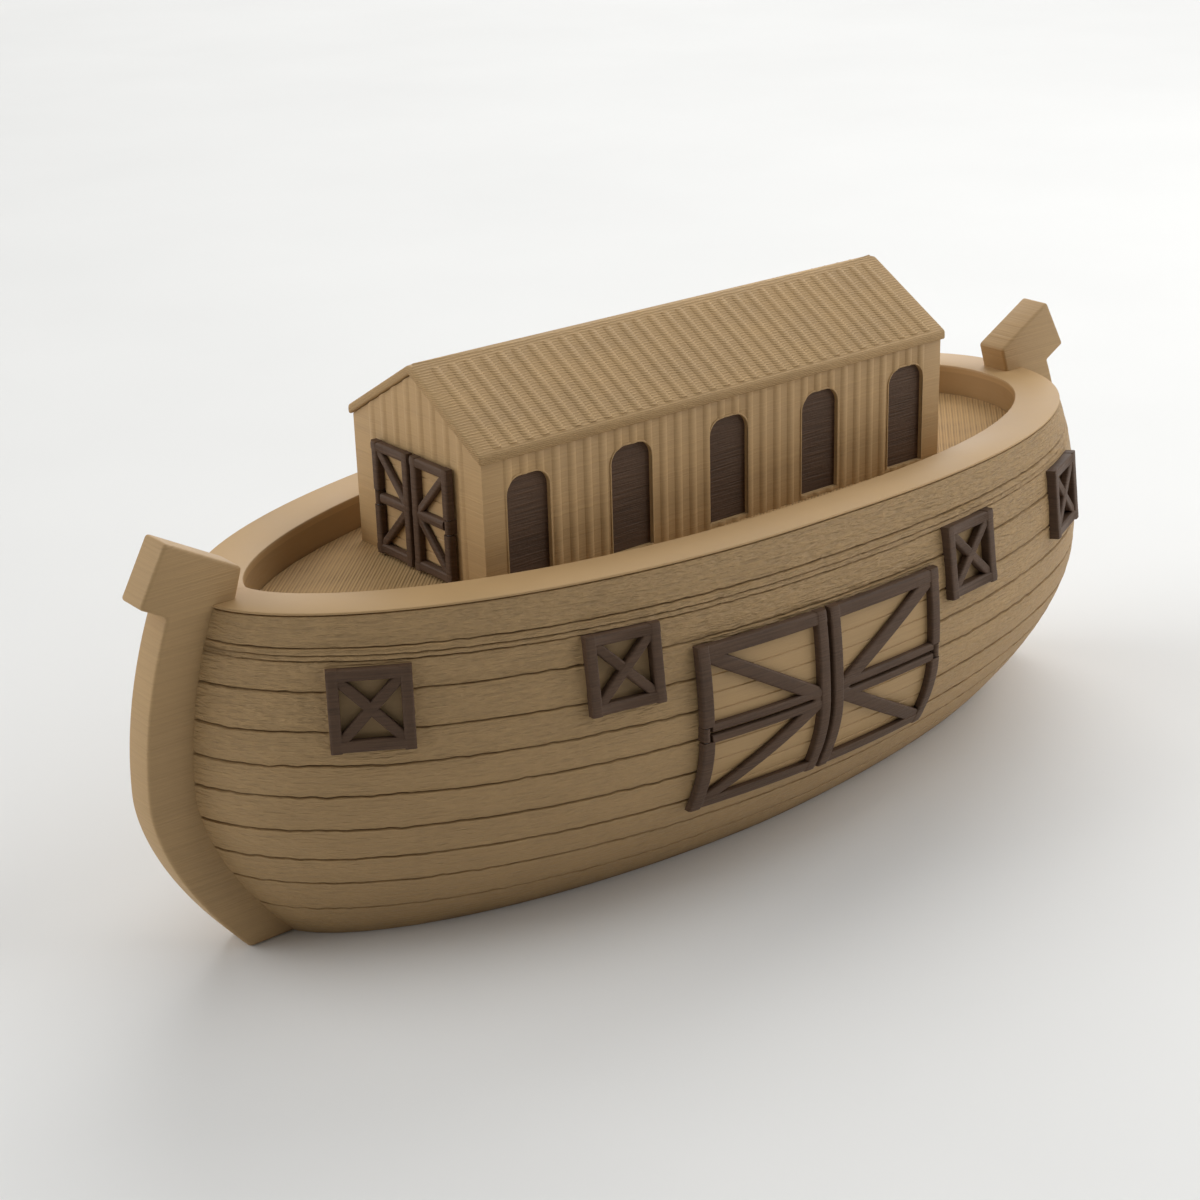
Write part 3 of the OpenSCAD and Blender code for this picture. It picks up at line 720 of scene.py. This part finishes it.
class Planking:
    """Rows of places across the planks, with the stray of each seam."""
    SEAMS = [h * MM for h in (4.7, 9.8, 14.1, 18.6, 23.2, 27.1, 31.3, 36.0, 41.2)]
    # Distance over or under a seam, in millimetres, and share of the groove's depth there
    OVER = ((0.0, 1.0), (0.05, 0.85), (0.1, 0.3), (0.2, 0.0))
    UNDER = ((0.55, 0.0), (0.3, -0.16), (0.16, -0.22), (0.09, 0.2), (0.04, 0.85))
    # Fine double score under the uppermost seam: drop below it and depth, in millimetres
    SCORE = ((1.8, 0.0), (1.66, 0.28), (1.54, -0.08), (1.14, 0.0), (1.0, 0.34), (0.88, -0.08))
    # Shares of the way up a plank
    BODY = (0.2, 0.4, 0.6, 0.78)
    # Lengths of a seam's long and short stray, and of the swing of its depth
    LONG, SHORT, SWING = 9 * MM, 1.7 * MM, 8 * MM

    def __init__(self, form):
        self.form = form
        self.rows = self.list_rows()

    def list_rows(self):
        """The rows of all the planks, from the ground up to the rail."""
        edges = [0.0, *self.SEAMS, self.form.plank_top]
        rows = []
        for k, (low, high) in enumerate(zip(edges, edges[1:])):
            below = k - 1 if k else None
            above = k if k < len(self.SEAMS) else None
            if below is None:
                rows.append(Row(low, below, above, 0.0))
            else:
                rows += [Row(low + d * MM, below, above, 0.0, g) for d, g in self.OVER]
            scored = above == len(self.SEAMS) - 1
            rows += [Row(low + (high - low) * t, below, above, t)
                     for t in (self.BODY[:-1] if scored else self.BODY)]
            if scored:
                rows += [Row(high - d * MM, below, above, 1 - d * MM / (high - low), score=g)
                         for d, g in self.SCORE]
            if above is None:
                rows.append(Row(high, below, above, 1.0))
            else:
                rows += [Row(high - d * MM, below, above, 1.0, g) for d, g in self.UNDER]
        return rows

    def stray(self, seam, side, girth):
        """How far a seam strays up or down; each seam has its own line of the noise."""
        if seam is None:
            return 0.0
        shift = 37.0 * seam + 11.0 * side
        long = noise.noise(Vector((girth / self.LONG, shift, 0.0)))
        short = noise.noise(Vector((girth / self.SHORT, shift, 5.0)))
        ragged = 1.3 - 0.08 * seam
        return self.form.sizes.seam_wander * ragged * (0.7 * long + short)

    def depth(self, seam, side, girth):
        """Depth of the groove, which swings along the seam."""
        swing = noise.noise(Vector((girth / self.SWING, 17.0 * seam + 3.0 * side, 9.0)))
        return self.form.sizes.seam_depth * (0.85 + 0.5 * swing) * self.fade(seam)

    def place(self, row, side, i):
        """Where a row passes a station."""
        form, u, girth = self.form, self.form.stations[i], self.form.girth[i]
        share = row.share
        z = row.height + form.lift(row.height) * u * u
        z += ((1 - share) * self.stray(row.below, side, girth)
              + share * self.stray(row.above, side, girth))
        inset = row.score * MM - form.sizes.plank_crown * 4 * share * (1 - share)
        if row.groove:
            inset += row.groove * self.depth(self.grooved(row), side, girth)
        x, y = form.plan_point(u, z, form.end(z), form.side(z), inset)
        return x, side * y, max(0.0, z)

    def grooved(self, row):
        """The seam whose groove a row is in."""
        return row.above if row.share else row.below

    def fade(self, seam):
        """The lowest seams are the faintest."""
        return min(1.0, 0.5 + 0.17 * seam)

    def tint(self, row):
        """How far painted shade darkens a row, in a seam's groove or a fine score."""
        if row.groove > 0:
            return row.groove * self.fade(self.grooved(row))
        return 3 * max(0.0, row.score)


def hold_place(form, z):
    """Places of the hold's wall at one height."""
    s = form.sizes
    reach, breadth = form.end(z) - s.post_depth - s.shell, form.side(z) - s.shell

    def place(side, i):
        u = form.stations[i]
        return u * reach, side * breadth * form.fullness(u, z), z
    return place


def rail_place(form, inset, z):
    """Places at an even distance inside the rail's edge."""
    def place(side, i):
        x, y = form.rail_point(form.stations[i], inset)
        return x, side * y, z
    return place


class ARK_OT_hull(bpy.types.Operator):
    """Models the planked hull with its hold, doorway and hatch pockets"""
    bl_idname = "ark.hull"
    bl_label = "Hull"
    HOLD_LEVELS = 6
    # Lap of the planking under the rail, and how far a cutting box reaches out of the side
    RAIL_LAP = 0.8 * MM
    TOOL_REACH = 3 * MM

    def execute(self, context):
        form = HullForm(context.scene.ark_hull)
        piece = self.skin(form)
        fit = context.scene.ark_fittings
        tools = [self.hatch_tool(form, fit, x, side)
                 for side in (PORT, STARBOARD) for x in fit.hatch_stations]
        tools.append(self.doorway_tool(form, fit))
        join(tools)
        combine(piece, "DIFFERENCE", tools[0])
        smooth(piece, 50)
        hand_over(piece, "ark", "planks", "hull")
        return {"FINISHED"}

    def skin(self, form):
        """Up the planks, over the top and down inside to the hold's floor."""
        s, planking = form.sizes, Planking(form)
        rows = [form.both_sides(lambda side, i, row=row: planking.place(row, side, i))
                for row in planking.rows]
        # Painted shade for the grooves and fine scores, stored as the point attribute seam
        seams = [planking.tint(row) for row in planking.rows]
        under = form.deck_top - s.deck_thickness
        low = under - s.ledge
        lap, inside, ledge = self.RAIL_LAP, s.rail_width, s.rail_width + s.ledge
        inner = [rail_place(form, *point) for point in (
            (lap, form.plank_top), (lap, form.hull_top), (inside, form.hull_top),
            (inside, under), (ledge, under), (ledge, low))]
        inner += [hold_place(form, low + (s.floor - low) * k / self.HOLD_LEVELS)
                  for k in range(self.HOLD_LEVELS + 1)]
        rows += [form.both_sides(place) for place in inner]
        seams += [0.0] * len(inner)
        sawn = [1.0] * len(planking.rows) + [0.0] * len(inner)
        girth = form.girth + [2 * form.girth[-1] - g for g in reversed(form.girth)]
        girth.append(girth[-1])
        pattern = [[(g, place[2]) for g, place in zip(girth, row)] for row in rows]
        piece = sheet("planked_hull", rows, pattern)
        for name, values in (("seam", seams), ("sawn", sawn)):
            layer = piece.data.attributes.new(name, "FLOAT", "POINT")
            layer.data.foreach_set("value", [value for value in values for _ in girth])
        close_up(piece)
        return piece

    def hatch_tool(self, form, fit, x, side):
        """The box that cuts a hatch's pocket."""
        place = form.planking_frame(x, fit.hatch_height, side)
        half = fit.hatch_size / 2
        return block(place, (-half, -self.TOOL_REACH, -half), (half, fit.hatch_pocket, half))

    def doorway_tool(self, form, fit):
        """The box that cuts the doorway of the cargo doors."""
        half = fit.cargo_width / 2 - fit.jamb_lap
        beam = form.sizes.beam
        return block(Matrix.Identity(4), (-half, -beam, fit.cargo_bottom + fit.jamb_lap),
                     (half, -beam / 3, fit.cargo_bottom + fit.cargo_height - fit.jamb_lap))


class ARK_OT_rail(bpy.types.Operator):
    """Models the flat rail with its rounded edges"""
    bl_idname = "ark.rail"
    bl_label = "Rail"
    # Distance in from the outer edge and down from the top, in millimetres
    OUTER = ((0.5, 1.0), (0.5, 0.34), (0.1, 0.34), (0.02, 0.28), (0.0, 0.18), (0.05, 0.06),
             (0.17, 0.0))
    INNER = ((0.3, 0.0), (0.1, 0.06), (0.02, 0.2), (0.0, 0.4), (0.0, 1.0))

    def execute(self, context):
        form = HullForm(context.scene.ark_hull)
        s = form.sizes
        line = [(inset * MM, s.rail_top - drop * MM) for inset, drop in self.OUTER]
        line += [(s.rail_width - inset * MM, s.rail_top - drop * MM) for inset, drop in self.INNER]
        rows = [form.both_sides(rail_place(form, *point)) for point in [*line, line[0]]]
        piece = sheet("rounded_rail", rows)
        close_up(piece)
        smooth(piece, 40)
        # The rail finish's tan is lightened, as painted light
        hand_over(piece, "ark", "rail", "rail")
        return {"FINISHED"}


class ARK_OT_posts(bpy.types.Operator):
    """Models the stem and stern posts from one outline"""
    bl_idname = "ark.posts"
    bl_label = "Posts"
    STEPS = 60

    def execute(self, context):
        form = HullForm(context.scene.ark_hull)
        for name, hand in (("stem_post", -1), ("stern_post", 1)):
            outline = [(hand * x, z) for x, z in self.outline(form)]
            piece = self.plate(name + "_plank", outline, form.sizes.post_thickness)
            apply(piece, "BEVEL", width=form.sizes.post_edge, segments=4, limit_method="ANGLE",
                  angle_limit=math.radians(22))
            smooth(piece, 30)
            # The post finish's tan is darkened, as painted shade
            hand_over(piece, "ark", "post", name)
        return {"FINISHED"}

    def outline(self, form):
        """The head's corners, down the front and up the back along the hull's end."""
        s = form.sizes
        levels = [s.rail_top * k / self.STEPS for k in range(self.STEPS + 1)]
        front = [(form.end(z) + s.post_proud, z) for z in reversed(levels)]
        back = [(form.end(z) - s.post_depth, z) for z in levels]
        slope = s.head_slope
        corner = Vector((front[0][0] + s.head_overhang,
                         s.rail_top + s.head_overhang * math.tan(slope)))
        peak = corner + s.head_height * Vector((-math.sin(slope), math.cos(slope)))
        tail = peak - s.head_length * Vector((math.cos(slope), math.sin(slope)))
        return [tuple(tail), tuple(peak), tuple(corner), *front, *back]

    def plate(self, name, outline, thickness):
        """A flat piece of one thickness, upright in the middle plane."""
        deselect()
        bpy.ops.mesh.primitive_circle_add(vertices=len(outline), fill_type="NGON")
        piece = bpy.context.object
        piece.name = piece.data.name = name
        for vertex, (x, z) in zip(piece.data.vertices, outline):
            vertex.co = (x, -thickness / 2, z)
        edit(piece)
        bpy.ops.mesh.extrude_region_move(TRANSFORM_OT_translate={"value": (0, thickness, 0)})
        face_outwards()
        return piece


class ARK_OT_deck(bpy.types.Operator):
    """Finishes the deck"""
    bl_idname = "ark.deck"
    bl_label = "Deck"

    def execute(self, context):
        dress("deck", "deck")
        return {"FINISHED"}


class ARK_OT_house(bpy.types.Operator):
    """Models the board-and-batten walls and finishes their windows"""
    bl_idname = "ark.house"
    bl_label = "House"
    # Radius of the windows' upper corners, and overhang of the eaves
    CORNER = 2.2 * MM
    EAVES = 0.5 * MM
    CORNER_STEPS = 10
    # Section of a rim: share of its width across and of its height outwards
    SECTION = ((-0.5, -0.2), (-0.5, 0.7), (-0.2, 1.0), (0.2, 1.0), (0.5, 0.7), (0.5, -0.2))

    def execute(self, context):
        piece = ease(flat_copy("house"), context.scene.ark_finish.edge)
        fit = context.scene.ark_fittings
        windows = [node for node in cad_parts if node.startswith("window_")]
        join([piece, *(self.rim(node, fit) for node in windows)])
        # The wall finish's tan is lightened, as painted light
        hand_over(piece, "ark", "wall", "house")
        for node in windows:
            dress(node, "window")
        return {"FINISHED"}

    def rim(self, node, fit):
        """A thin raised edge up one side of a window, over its arch and down the other."""
        low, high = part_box(node)
        side = PORT if low[1] < 0 else STARBOARD
        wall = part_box("roof")[1][1] - self.EAVES
        rows = []
        for across, out in self.SECTION:
            grow = fit.rim_width * (across + 0.5)
            rows.append([(x, side * (wall + fit.rim_proud * out), z)
                         for x, z in self.arch(low, high, grow)])
        rim = sheet("window_rim", rows)
        close_up(rim)
        smooth(rim, 50)
        return rim

    def arch(self, low, high, grow):
        """The window's outline, drawn outwards by an even distance."""
        radius = self.CORNER
        points = [(low[0] - grow, low[2])]
        for centre, start in ((low[0] + radius, math.pi), (high[0] - radius, math.pi / 2)):
            for k in range(self.CORNER_STEPS + 1):
                angle = start - math.pi / 2 * k / self.CORNER_STEPS
                points.append((centre + (radius + grow) * math.cos(angle),
                               high[2] - radius + (radius + grow) * math.sin(angle)))
        return points + [(high[0] + grow, low[2])]


class ARK_OT_roof(bpy.types.Operator):
    """Models the ribbed roof"""
    bl_idname = "ark.roof"
    bl_label = "Roof"
    # Distance from the ridge or a gable within which an edge belongs to it
    NEAR = 0.02 * MM

    def execute(self, context):
        finish = context.scene.ark_finish
        piece = flat_copy("roof")
        low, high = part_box("roof")
        near = self.NEAR
        round_edges(piece, finish.ridge_edge, 4, lambda *ends: all(
            abs(co.y) < near and high[2] - co.z < near for co in ends))
        round_edges(piece, finish.roof_edge, 3, lambda *ends: all(
            co.x - low[0] < near or high[0] - co.x < near for co in ends))
        ease(piece, finish.edge)
        hand_over(piece, "roof", "roof", "roof")
        return {"FINISHED"}


class ARK_OT_hatches(bpy.types.Operator):
    """Models the bars of one hatch, copies them and finishes the panels"""
    bl_idname = "ark.hatches"
    bl_label = "Hatches"

    def execute(self, context):
        form = HullForm(context.scene.ark_hull)
        finish, fit = context.scene.ark_finish, context.scene.ark_fittings
        model = unite("hatch_bars", [
            straight_bar(Matrix.Identity(4), step - fit.hatch_proud, fit.hatch_seat - step,
                         start, end, width, finish.bar_edge)
            for start, end, width, step in self.lines(fit)])
        for letter, side in (("p", PORT), ("s", STARBOARD)):
            for k, x in enumerate(fit.hatch_stations):
                tag = letter + str(k + 1)
                piece = linked("hatch_bars_" + tag, model.data)
                piece.data.transform(form.planking_frame(x, fit.hatch_height, side))
                edit(piece)
                face_outwards()
                hand_over(piece, "ark", "brown", "hatch_frame_" + tag)
                # The recessed hatch panels get a much darker tan, as painted shade
                dress("hatch_panel_" + tag, "shutter")
        bpy.data.objects.remove(model)
        return {"FINISHED"}

    def lines(self, fit):
        """(start, end, width, step back) of the bars of a hatch."""
        half, bar, step = fit.hatch_size / 2, fit.hatch_bar, fit.bar_step
        middle = half - bar / 2
        lines = [((x, -half), (x, half), bar, 0.0) for x in (-middle, middle)]
        lines += [((step - half, z), (half - step, z), bar, step)
                  for z in (step - middle, middle - step)]
        reach = middle - bar / 4
        return lines + [((-reach, -reach), (reach, reach), fit.hatch_brace, fit.brace_step),
                        ((-reach, reach), (reach, -reach), fit.hatch_brace, fit.brace_step + step)]


def board_levels(fit, low, high, width):
    """(height, depth) of each row of a boarded panel: a narrow line at every board's edge."""
    half = fit.board_line
    levels, edge = [(low, 0.0)], low + width / 2
    while edge < high - half:
        levels += [(edge - half, 0.0), (edge, fit.board_groove), (edge + half, 0.0)]
        edge += width
    return levels + [(high, 0.0)]


def hang_leaf(kind, name, bars, width, columns, place):
    """Hands over a door leaf's bars and its boarded panel, made from boards of one width.

    place gives a point of the panel from its box, a share of the way across, a height and a depth.
    """
    body, node = kind + "_door_" + name, kind + "_panel_" + name
    hand_over(unite(kind + "_bars_" + name, bars), body, "brown", kind + "_frame_" + name)
    fit, (low, high) = bpy.context.scene.ark_fittings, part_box(node)
    levels = board_levels(fit, low[2], high[2], width)
    behind = [(z, fit.panel_thickness) for z, depth in reversed(levels)]
    rows = [[place(low, high, k / columns, z, depth) for k in range(columns + 1)]
            for z, depth in levels + behind + levels[:1]]
    boards = sheet(kind + "_boards_" + name, rows)
    close_up(boards)
    smooth(boards, 40)
    hand_over(boards, body, "panel", node)


def leaf_lines(fit, sides, heights, hinge, bar, brace, rails):
    """(start, end, width, step back) of the bars of a door leaf, hinged at the first side."""
    (outer, inner), (low, high) = sides, heights
    hand = 1 if inner > outer else -1
    step, middle = fit.bar_step, (low + high) / 2
    stiles = outer + hand * bar / 2, inner - hand * bar / 2
    ends = low + bar / 2 + step, high - bar / 2 - step
    (near, bottom), (far, top) = hinge
    reach = (far if hand > 0 else near) + hand * fit.knuckle_room
    lines = [((stiles[1], low), (stiles[1], high), bar, 0.0),
             ((stiles[0], low), (stiles[0], bottom - fit.knuckle_room), bar, 0.0),
             ((stiles[0], top + fit.knuckle_room), (stiles[0], high), bar, 0.0)]
    lines += [((outer + hand * step, z), (inner - hand * step, z), bar, step) for z in ends]
    lines += [((reach, middle + rise), (inner - hand * step, middle + rise), width, 2 * step)
              for rise, width in rails]
    for z in ends:
        corner, end = Vector((stiles[0], z)), Vector((stiles[1], middle))
        start = corner + (end - corner).normalized() * bar / 3
        lines.append((start, end, brace, fit.brace_step))
    return lines


class ARK_OT_cargo_doors(bpy.types.Operator):
    """Models the two curved cargo doors"""
    bl_idname = "ark.cargo_doors"
    bl_label = "Cargo doors"
    COLUMNS = 40
    # Distance between two places along a bar
    SPAN = 0.6 * MM

    def execute(self, context):
        form = HullForm(context.scene.ark_hull)
        finish, fit = context.scene.ark_finish, context.scene.ark_fittings

        def place(low, high, share, z, depth):
            x = low[0] + (high[0] - low[0]) * share
            return x, -form.half_breadth(x, z) - fit.leaf_gap + depth, z
        for name in ("fore", "aft"):
            bars = [self.bar(form, fit, *line, finish.cargo_edge) for line in self.lines(name, fit)]
            hang_leaf("cargo", name, bars, fit.cargo_board, self.COLUMNS, place)
        return {"FINISHED"}

    def lines(self, name, fit):
        """The bars of one leaf, seen from the side."""
        low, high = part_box("cargo_frame_" + name)
        hinge = [(corner[0], corner[2]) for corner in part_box("cargo_knuckle_" + name)]
        sides = (low[0], high[0]) if name == "fore" else (high[0], low[0])
        rise = (fit.cargo_rail + fit.cargo_slot) / 2
        return leaf_lines(fit, sides, (low[2], high[2]), hinge, fit.cargo_bar, fit.cargo_brace,
                          [(-rise, fit.cargo_rail), (rise, fit.cargo_rail)])

    def bar(self, form, fit, start, end, width, step, edge):
        """A bar laid along the hull between two places, its long front edges rounded."""
        start, end = Vector(start), Vector(end)
        run, half = end - start, width / 2
        across = Vector((-run.y, run.x)).normalized()
        back, front = fit.leaf_gap + step, fit.leaf_gap + fit.leaf_thickness - step
        turns = [math.radians(90 * k / BAR_TURNS) for k in range(BAR_TURNS + 1)]
        shoulder = [(half - edge * (1 - math.cos(a)), front - edge * (1 - math.sin(a)))
                    for a in turns]
        profile = ([(half, back)] + shoulder + [(-v, out) for v, out in reversed(shoulder)]
                   + [(-half, back), (half, back)])
        count = max(2, round(run.length / self.SPAN))
        rows = []
        for i in range(count + 1):
            places = [(start + run * i / count + across * v, out) for v, out in profile]
            rows.append([(x, -form.half_breadth(x, z) - out, z) for (x, z), out in places])
        piece = sheet("cargo_bar", rows)
        close_up(piece)
        return piece


class ARK_OT_cabin_doors(bpy.types.Operator):
    """Models the two cabin doors"""
    bl_idname = "ark.cabin_doors"
    bl_label = "Cabin doors"
    COLUMNS = 4
    # Swaps across and outwards, since these doors face along the ark
    GABLE = Matrix(((0, 1, 0, 0), (1, 0, 0, 0), (0, 0, 1, 0), (0, 0, 0, 1)))

    def execute(self, context):
        finish, fit = context.scene.ark_finish, context.scene.ark_fittings

        def place(low, high, share, z, depth):
            return low[0] + depth, high[1] + (low[1] - high[1]) * share, z
        for name in ("port", "starboard"):
            low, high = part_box("cabin_frame_" + name)
            bars = [straight_bar(self.GABLE, low[0] + step, high[0] - step, start, end, width,
                                 finish.cabin_edge)
                    for start, end, width, step in self.lines(name, fit)]
            hang_leaf("cabin", name, bars, fit.cabin_board, self.COLUMNS, place)
        return {"FINISHED"}

    def lines(self, name, fit):
        """The bars of one leaf, seen from the bow."""
        low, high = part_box("cabin_frame_" + name)
        hinge = [corner[1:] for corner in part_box("cabin_knuckle_" + name)]
        sides = (low[1], high[1]) if name == "port" else (high[1], low[1])
        return leaf_lines(fit, sides, (low[2], high[2]), hinge, fit.cabin_bar, fit.cabin_brace,
                          [(0, fit.cabin_bar)])


class ARK_OT_hinges(bpy.types.Operator):
    """Finishes the hinge knuckles and their pins"""
    bl_idname = "ark.hinges"
    bl_label = "Hinges"

    def execute(self, context):
        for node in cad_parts:
            if "_knuckle_" in node:
                dress(node, "brown")
            elif "_pin_" in node:
                dress(node, "steel")
        return {"FINISHED"}


class ARK_OT_stage(bpy.types.Operator):
    """Sets the floor, the lights and the camera"""
    bl_idname = "ark.stage"
    bl_label = "Stage"
    AIM = Vector((0.0, 0.0, 0.03))
    FLOOR_SIZE, FLOOR_DROP = 20, 0.05 * MM
    SENSOR, CLIP = 36, (0.01, 20)
    # Place and width of each lamp, in metres
    LAMPS = {"bow_lamp": ((-1.76, 0.55, 0.51), 2.4), "bow_back_lamp": ((-1.65, 1.5, 1.29), 2.4),
             "stern_lamp": ((0.5, -0.3, 0.36), 0.8), "stern_back_lamp": ((1.65, 1.5, 1.29), 2.4),
             "top_lamp": ((0.0, 0.22, 2.06), 2.4)}

    def execute(self, context):
        stage = context.scene.ark_stage
        self.floor(stage)
        self.sky(context.scene, stage)
        for name, (place, width) in self.LAMPS.items():
            self.lamp(name, place, width, getattr(stage, name))
        camera = bpy.data.objects.new("camera", bpy.data.cameras.new("camera"))
        context.scene.collection.objects.link(camera)
        camera.location = stage.eye
        camera.rotation_euler = stage.turn
        camera.data.lens = stage.lens
        camera.data.sensor_width = self.SENSOR
        camera.data.clip_start, camera.data.clip_end = self.CLIP
        context.scene.camera = camera
        context.scene.view_settings.view_transform = "Standard"
        return {"FINISHED"}

    def floor(self, stage):
        deselect()
        bpy.ops.mesh.primitive_plane_add(size=self.FLOOR_SIZE, location=(0, 0, -self.FLOOR_DROP))
        plane = bpy.context.object
        plane.name = "floor"
        f = Finish("pale_floor")
        cloud = f.noise(f.place(), (90, 90, 90), 3.0)
        f.set(Base_Color=f.tones(cloud, stage.floor, 0.95, 1.03),
              Roughness=0.75)
        plane.data.materials.append(f.material)

    def sky(self, scene, stage):
        world = bpy.data.worlds.new("studio")
        world.use_nodes = True
        background = world.node_tree.nodes["Background"]
        background.inputs["Color"].default_value = (1.0, 1.0, 1.0, 1.0)
        background.inputs["Strength"].default_value = stage.sky
        scene.world = world

    def lamp(self, name, place, width, watts):
        lamp = bpy.data.objects.new(name, bpy.data.lights.new(name, "AREA"))
        bpy.context.scene.collection.objects.link(lamp)
        lamp.data.shape = "DISK"
        lamp.data.size = width
        lamp.data.energy = watts
        lamp.location = place
        lamp.rotation_euler = (self.AIM - Vector(place)).to_track_quat("-Z", "Y").to_euler()


class ARK_PT_sidebar(bpy.types.Panel):
    """Lists the pieces of the ark and their sizes"""
    bl_idname = "ARK_PT_sidebar"
    bl_label = "Toy Ark"
    bl_space_type = "VIEW_3D"
    bl_region_type = "UI"
    bl_category = "Ark"

    def draw(self, context):
        for operator in OPERATORS:
            self.layout.operator(operator.bl_idname)
        for group in GROUPS:
            settings = getattr(context.scene, group)
            for name in settings.bl_rna.properties.keys():
                if name not in ("rna_type", "name"):
                    self.layout.prop(settings, name)


OPERATORS = (ARK_OT_hull, ARK_OT_rail, ARK_OT_posts, ARK_OT_deck, ARK_OT_house, ARK_OT_roof,
             ARK_OT_hatches, ARK_OT_cargo_doors, ARK_OT_cabin_doors, ARK_OT_hinges, ARK_OT_stage)
GROUPS = {"ark_hull": ArkHullSizes, "ark_fittings": ArkFittingSizes,
          "ark_finish": ArkFinishSettings, "ark_stage": ArkStageSettings}


def register():
    for made in (*GROUPS.values(), *OPERATORS, ARK_PT_sidebar):
        bpy.utils.register_class(made)
    for name, group in GROUPS.items():
        setattr(bpy.types.Scene, name, PointerProperty(type=group))


def unregister():
    for name in GROUPS:
        delattr(bpy.types.Scene, name)
    for made in (ARK_PT_sidebar, *reversed(OPERATORS), *reversed(GROUPS.values())):
        bpy.utils.unregister_class(made)


def main():
    register()
    for operator in OPERATORS:
        group, name = operator.bl_idname.split(".")
        getattr(getattr(bpy.ops, group), name)()
    deselect()


if __name__ == "__main__":
    main()
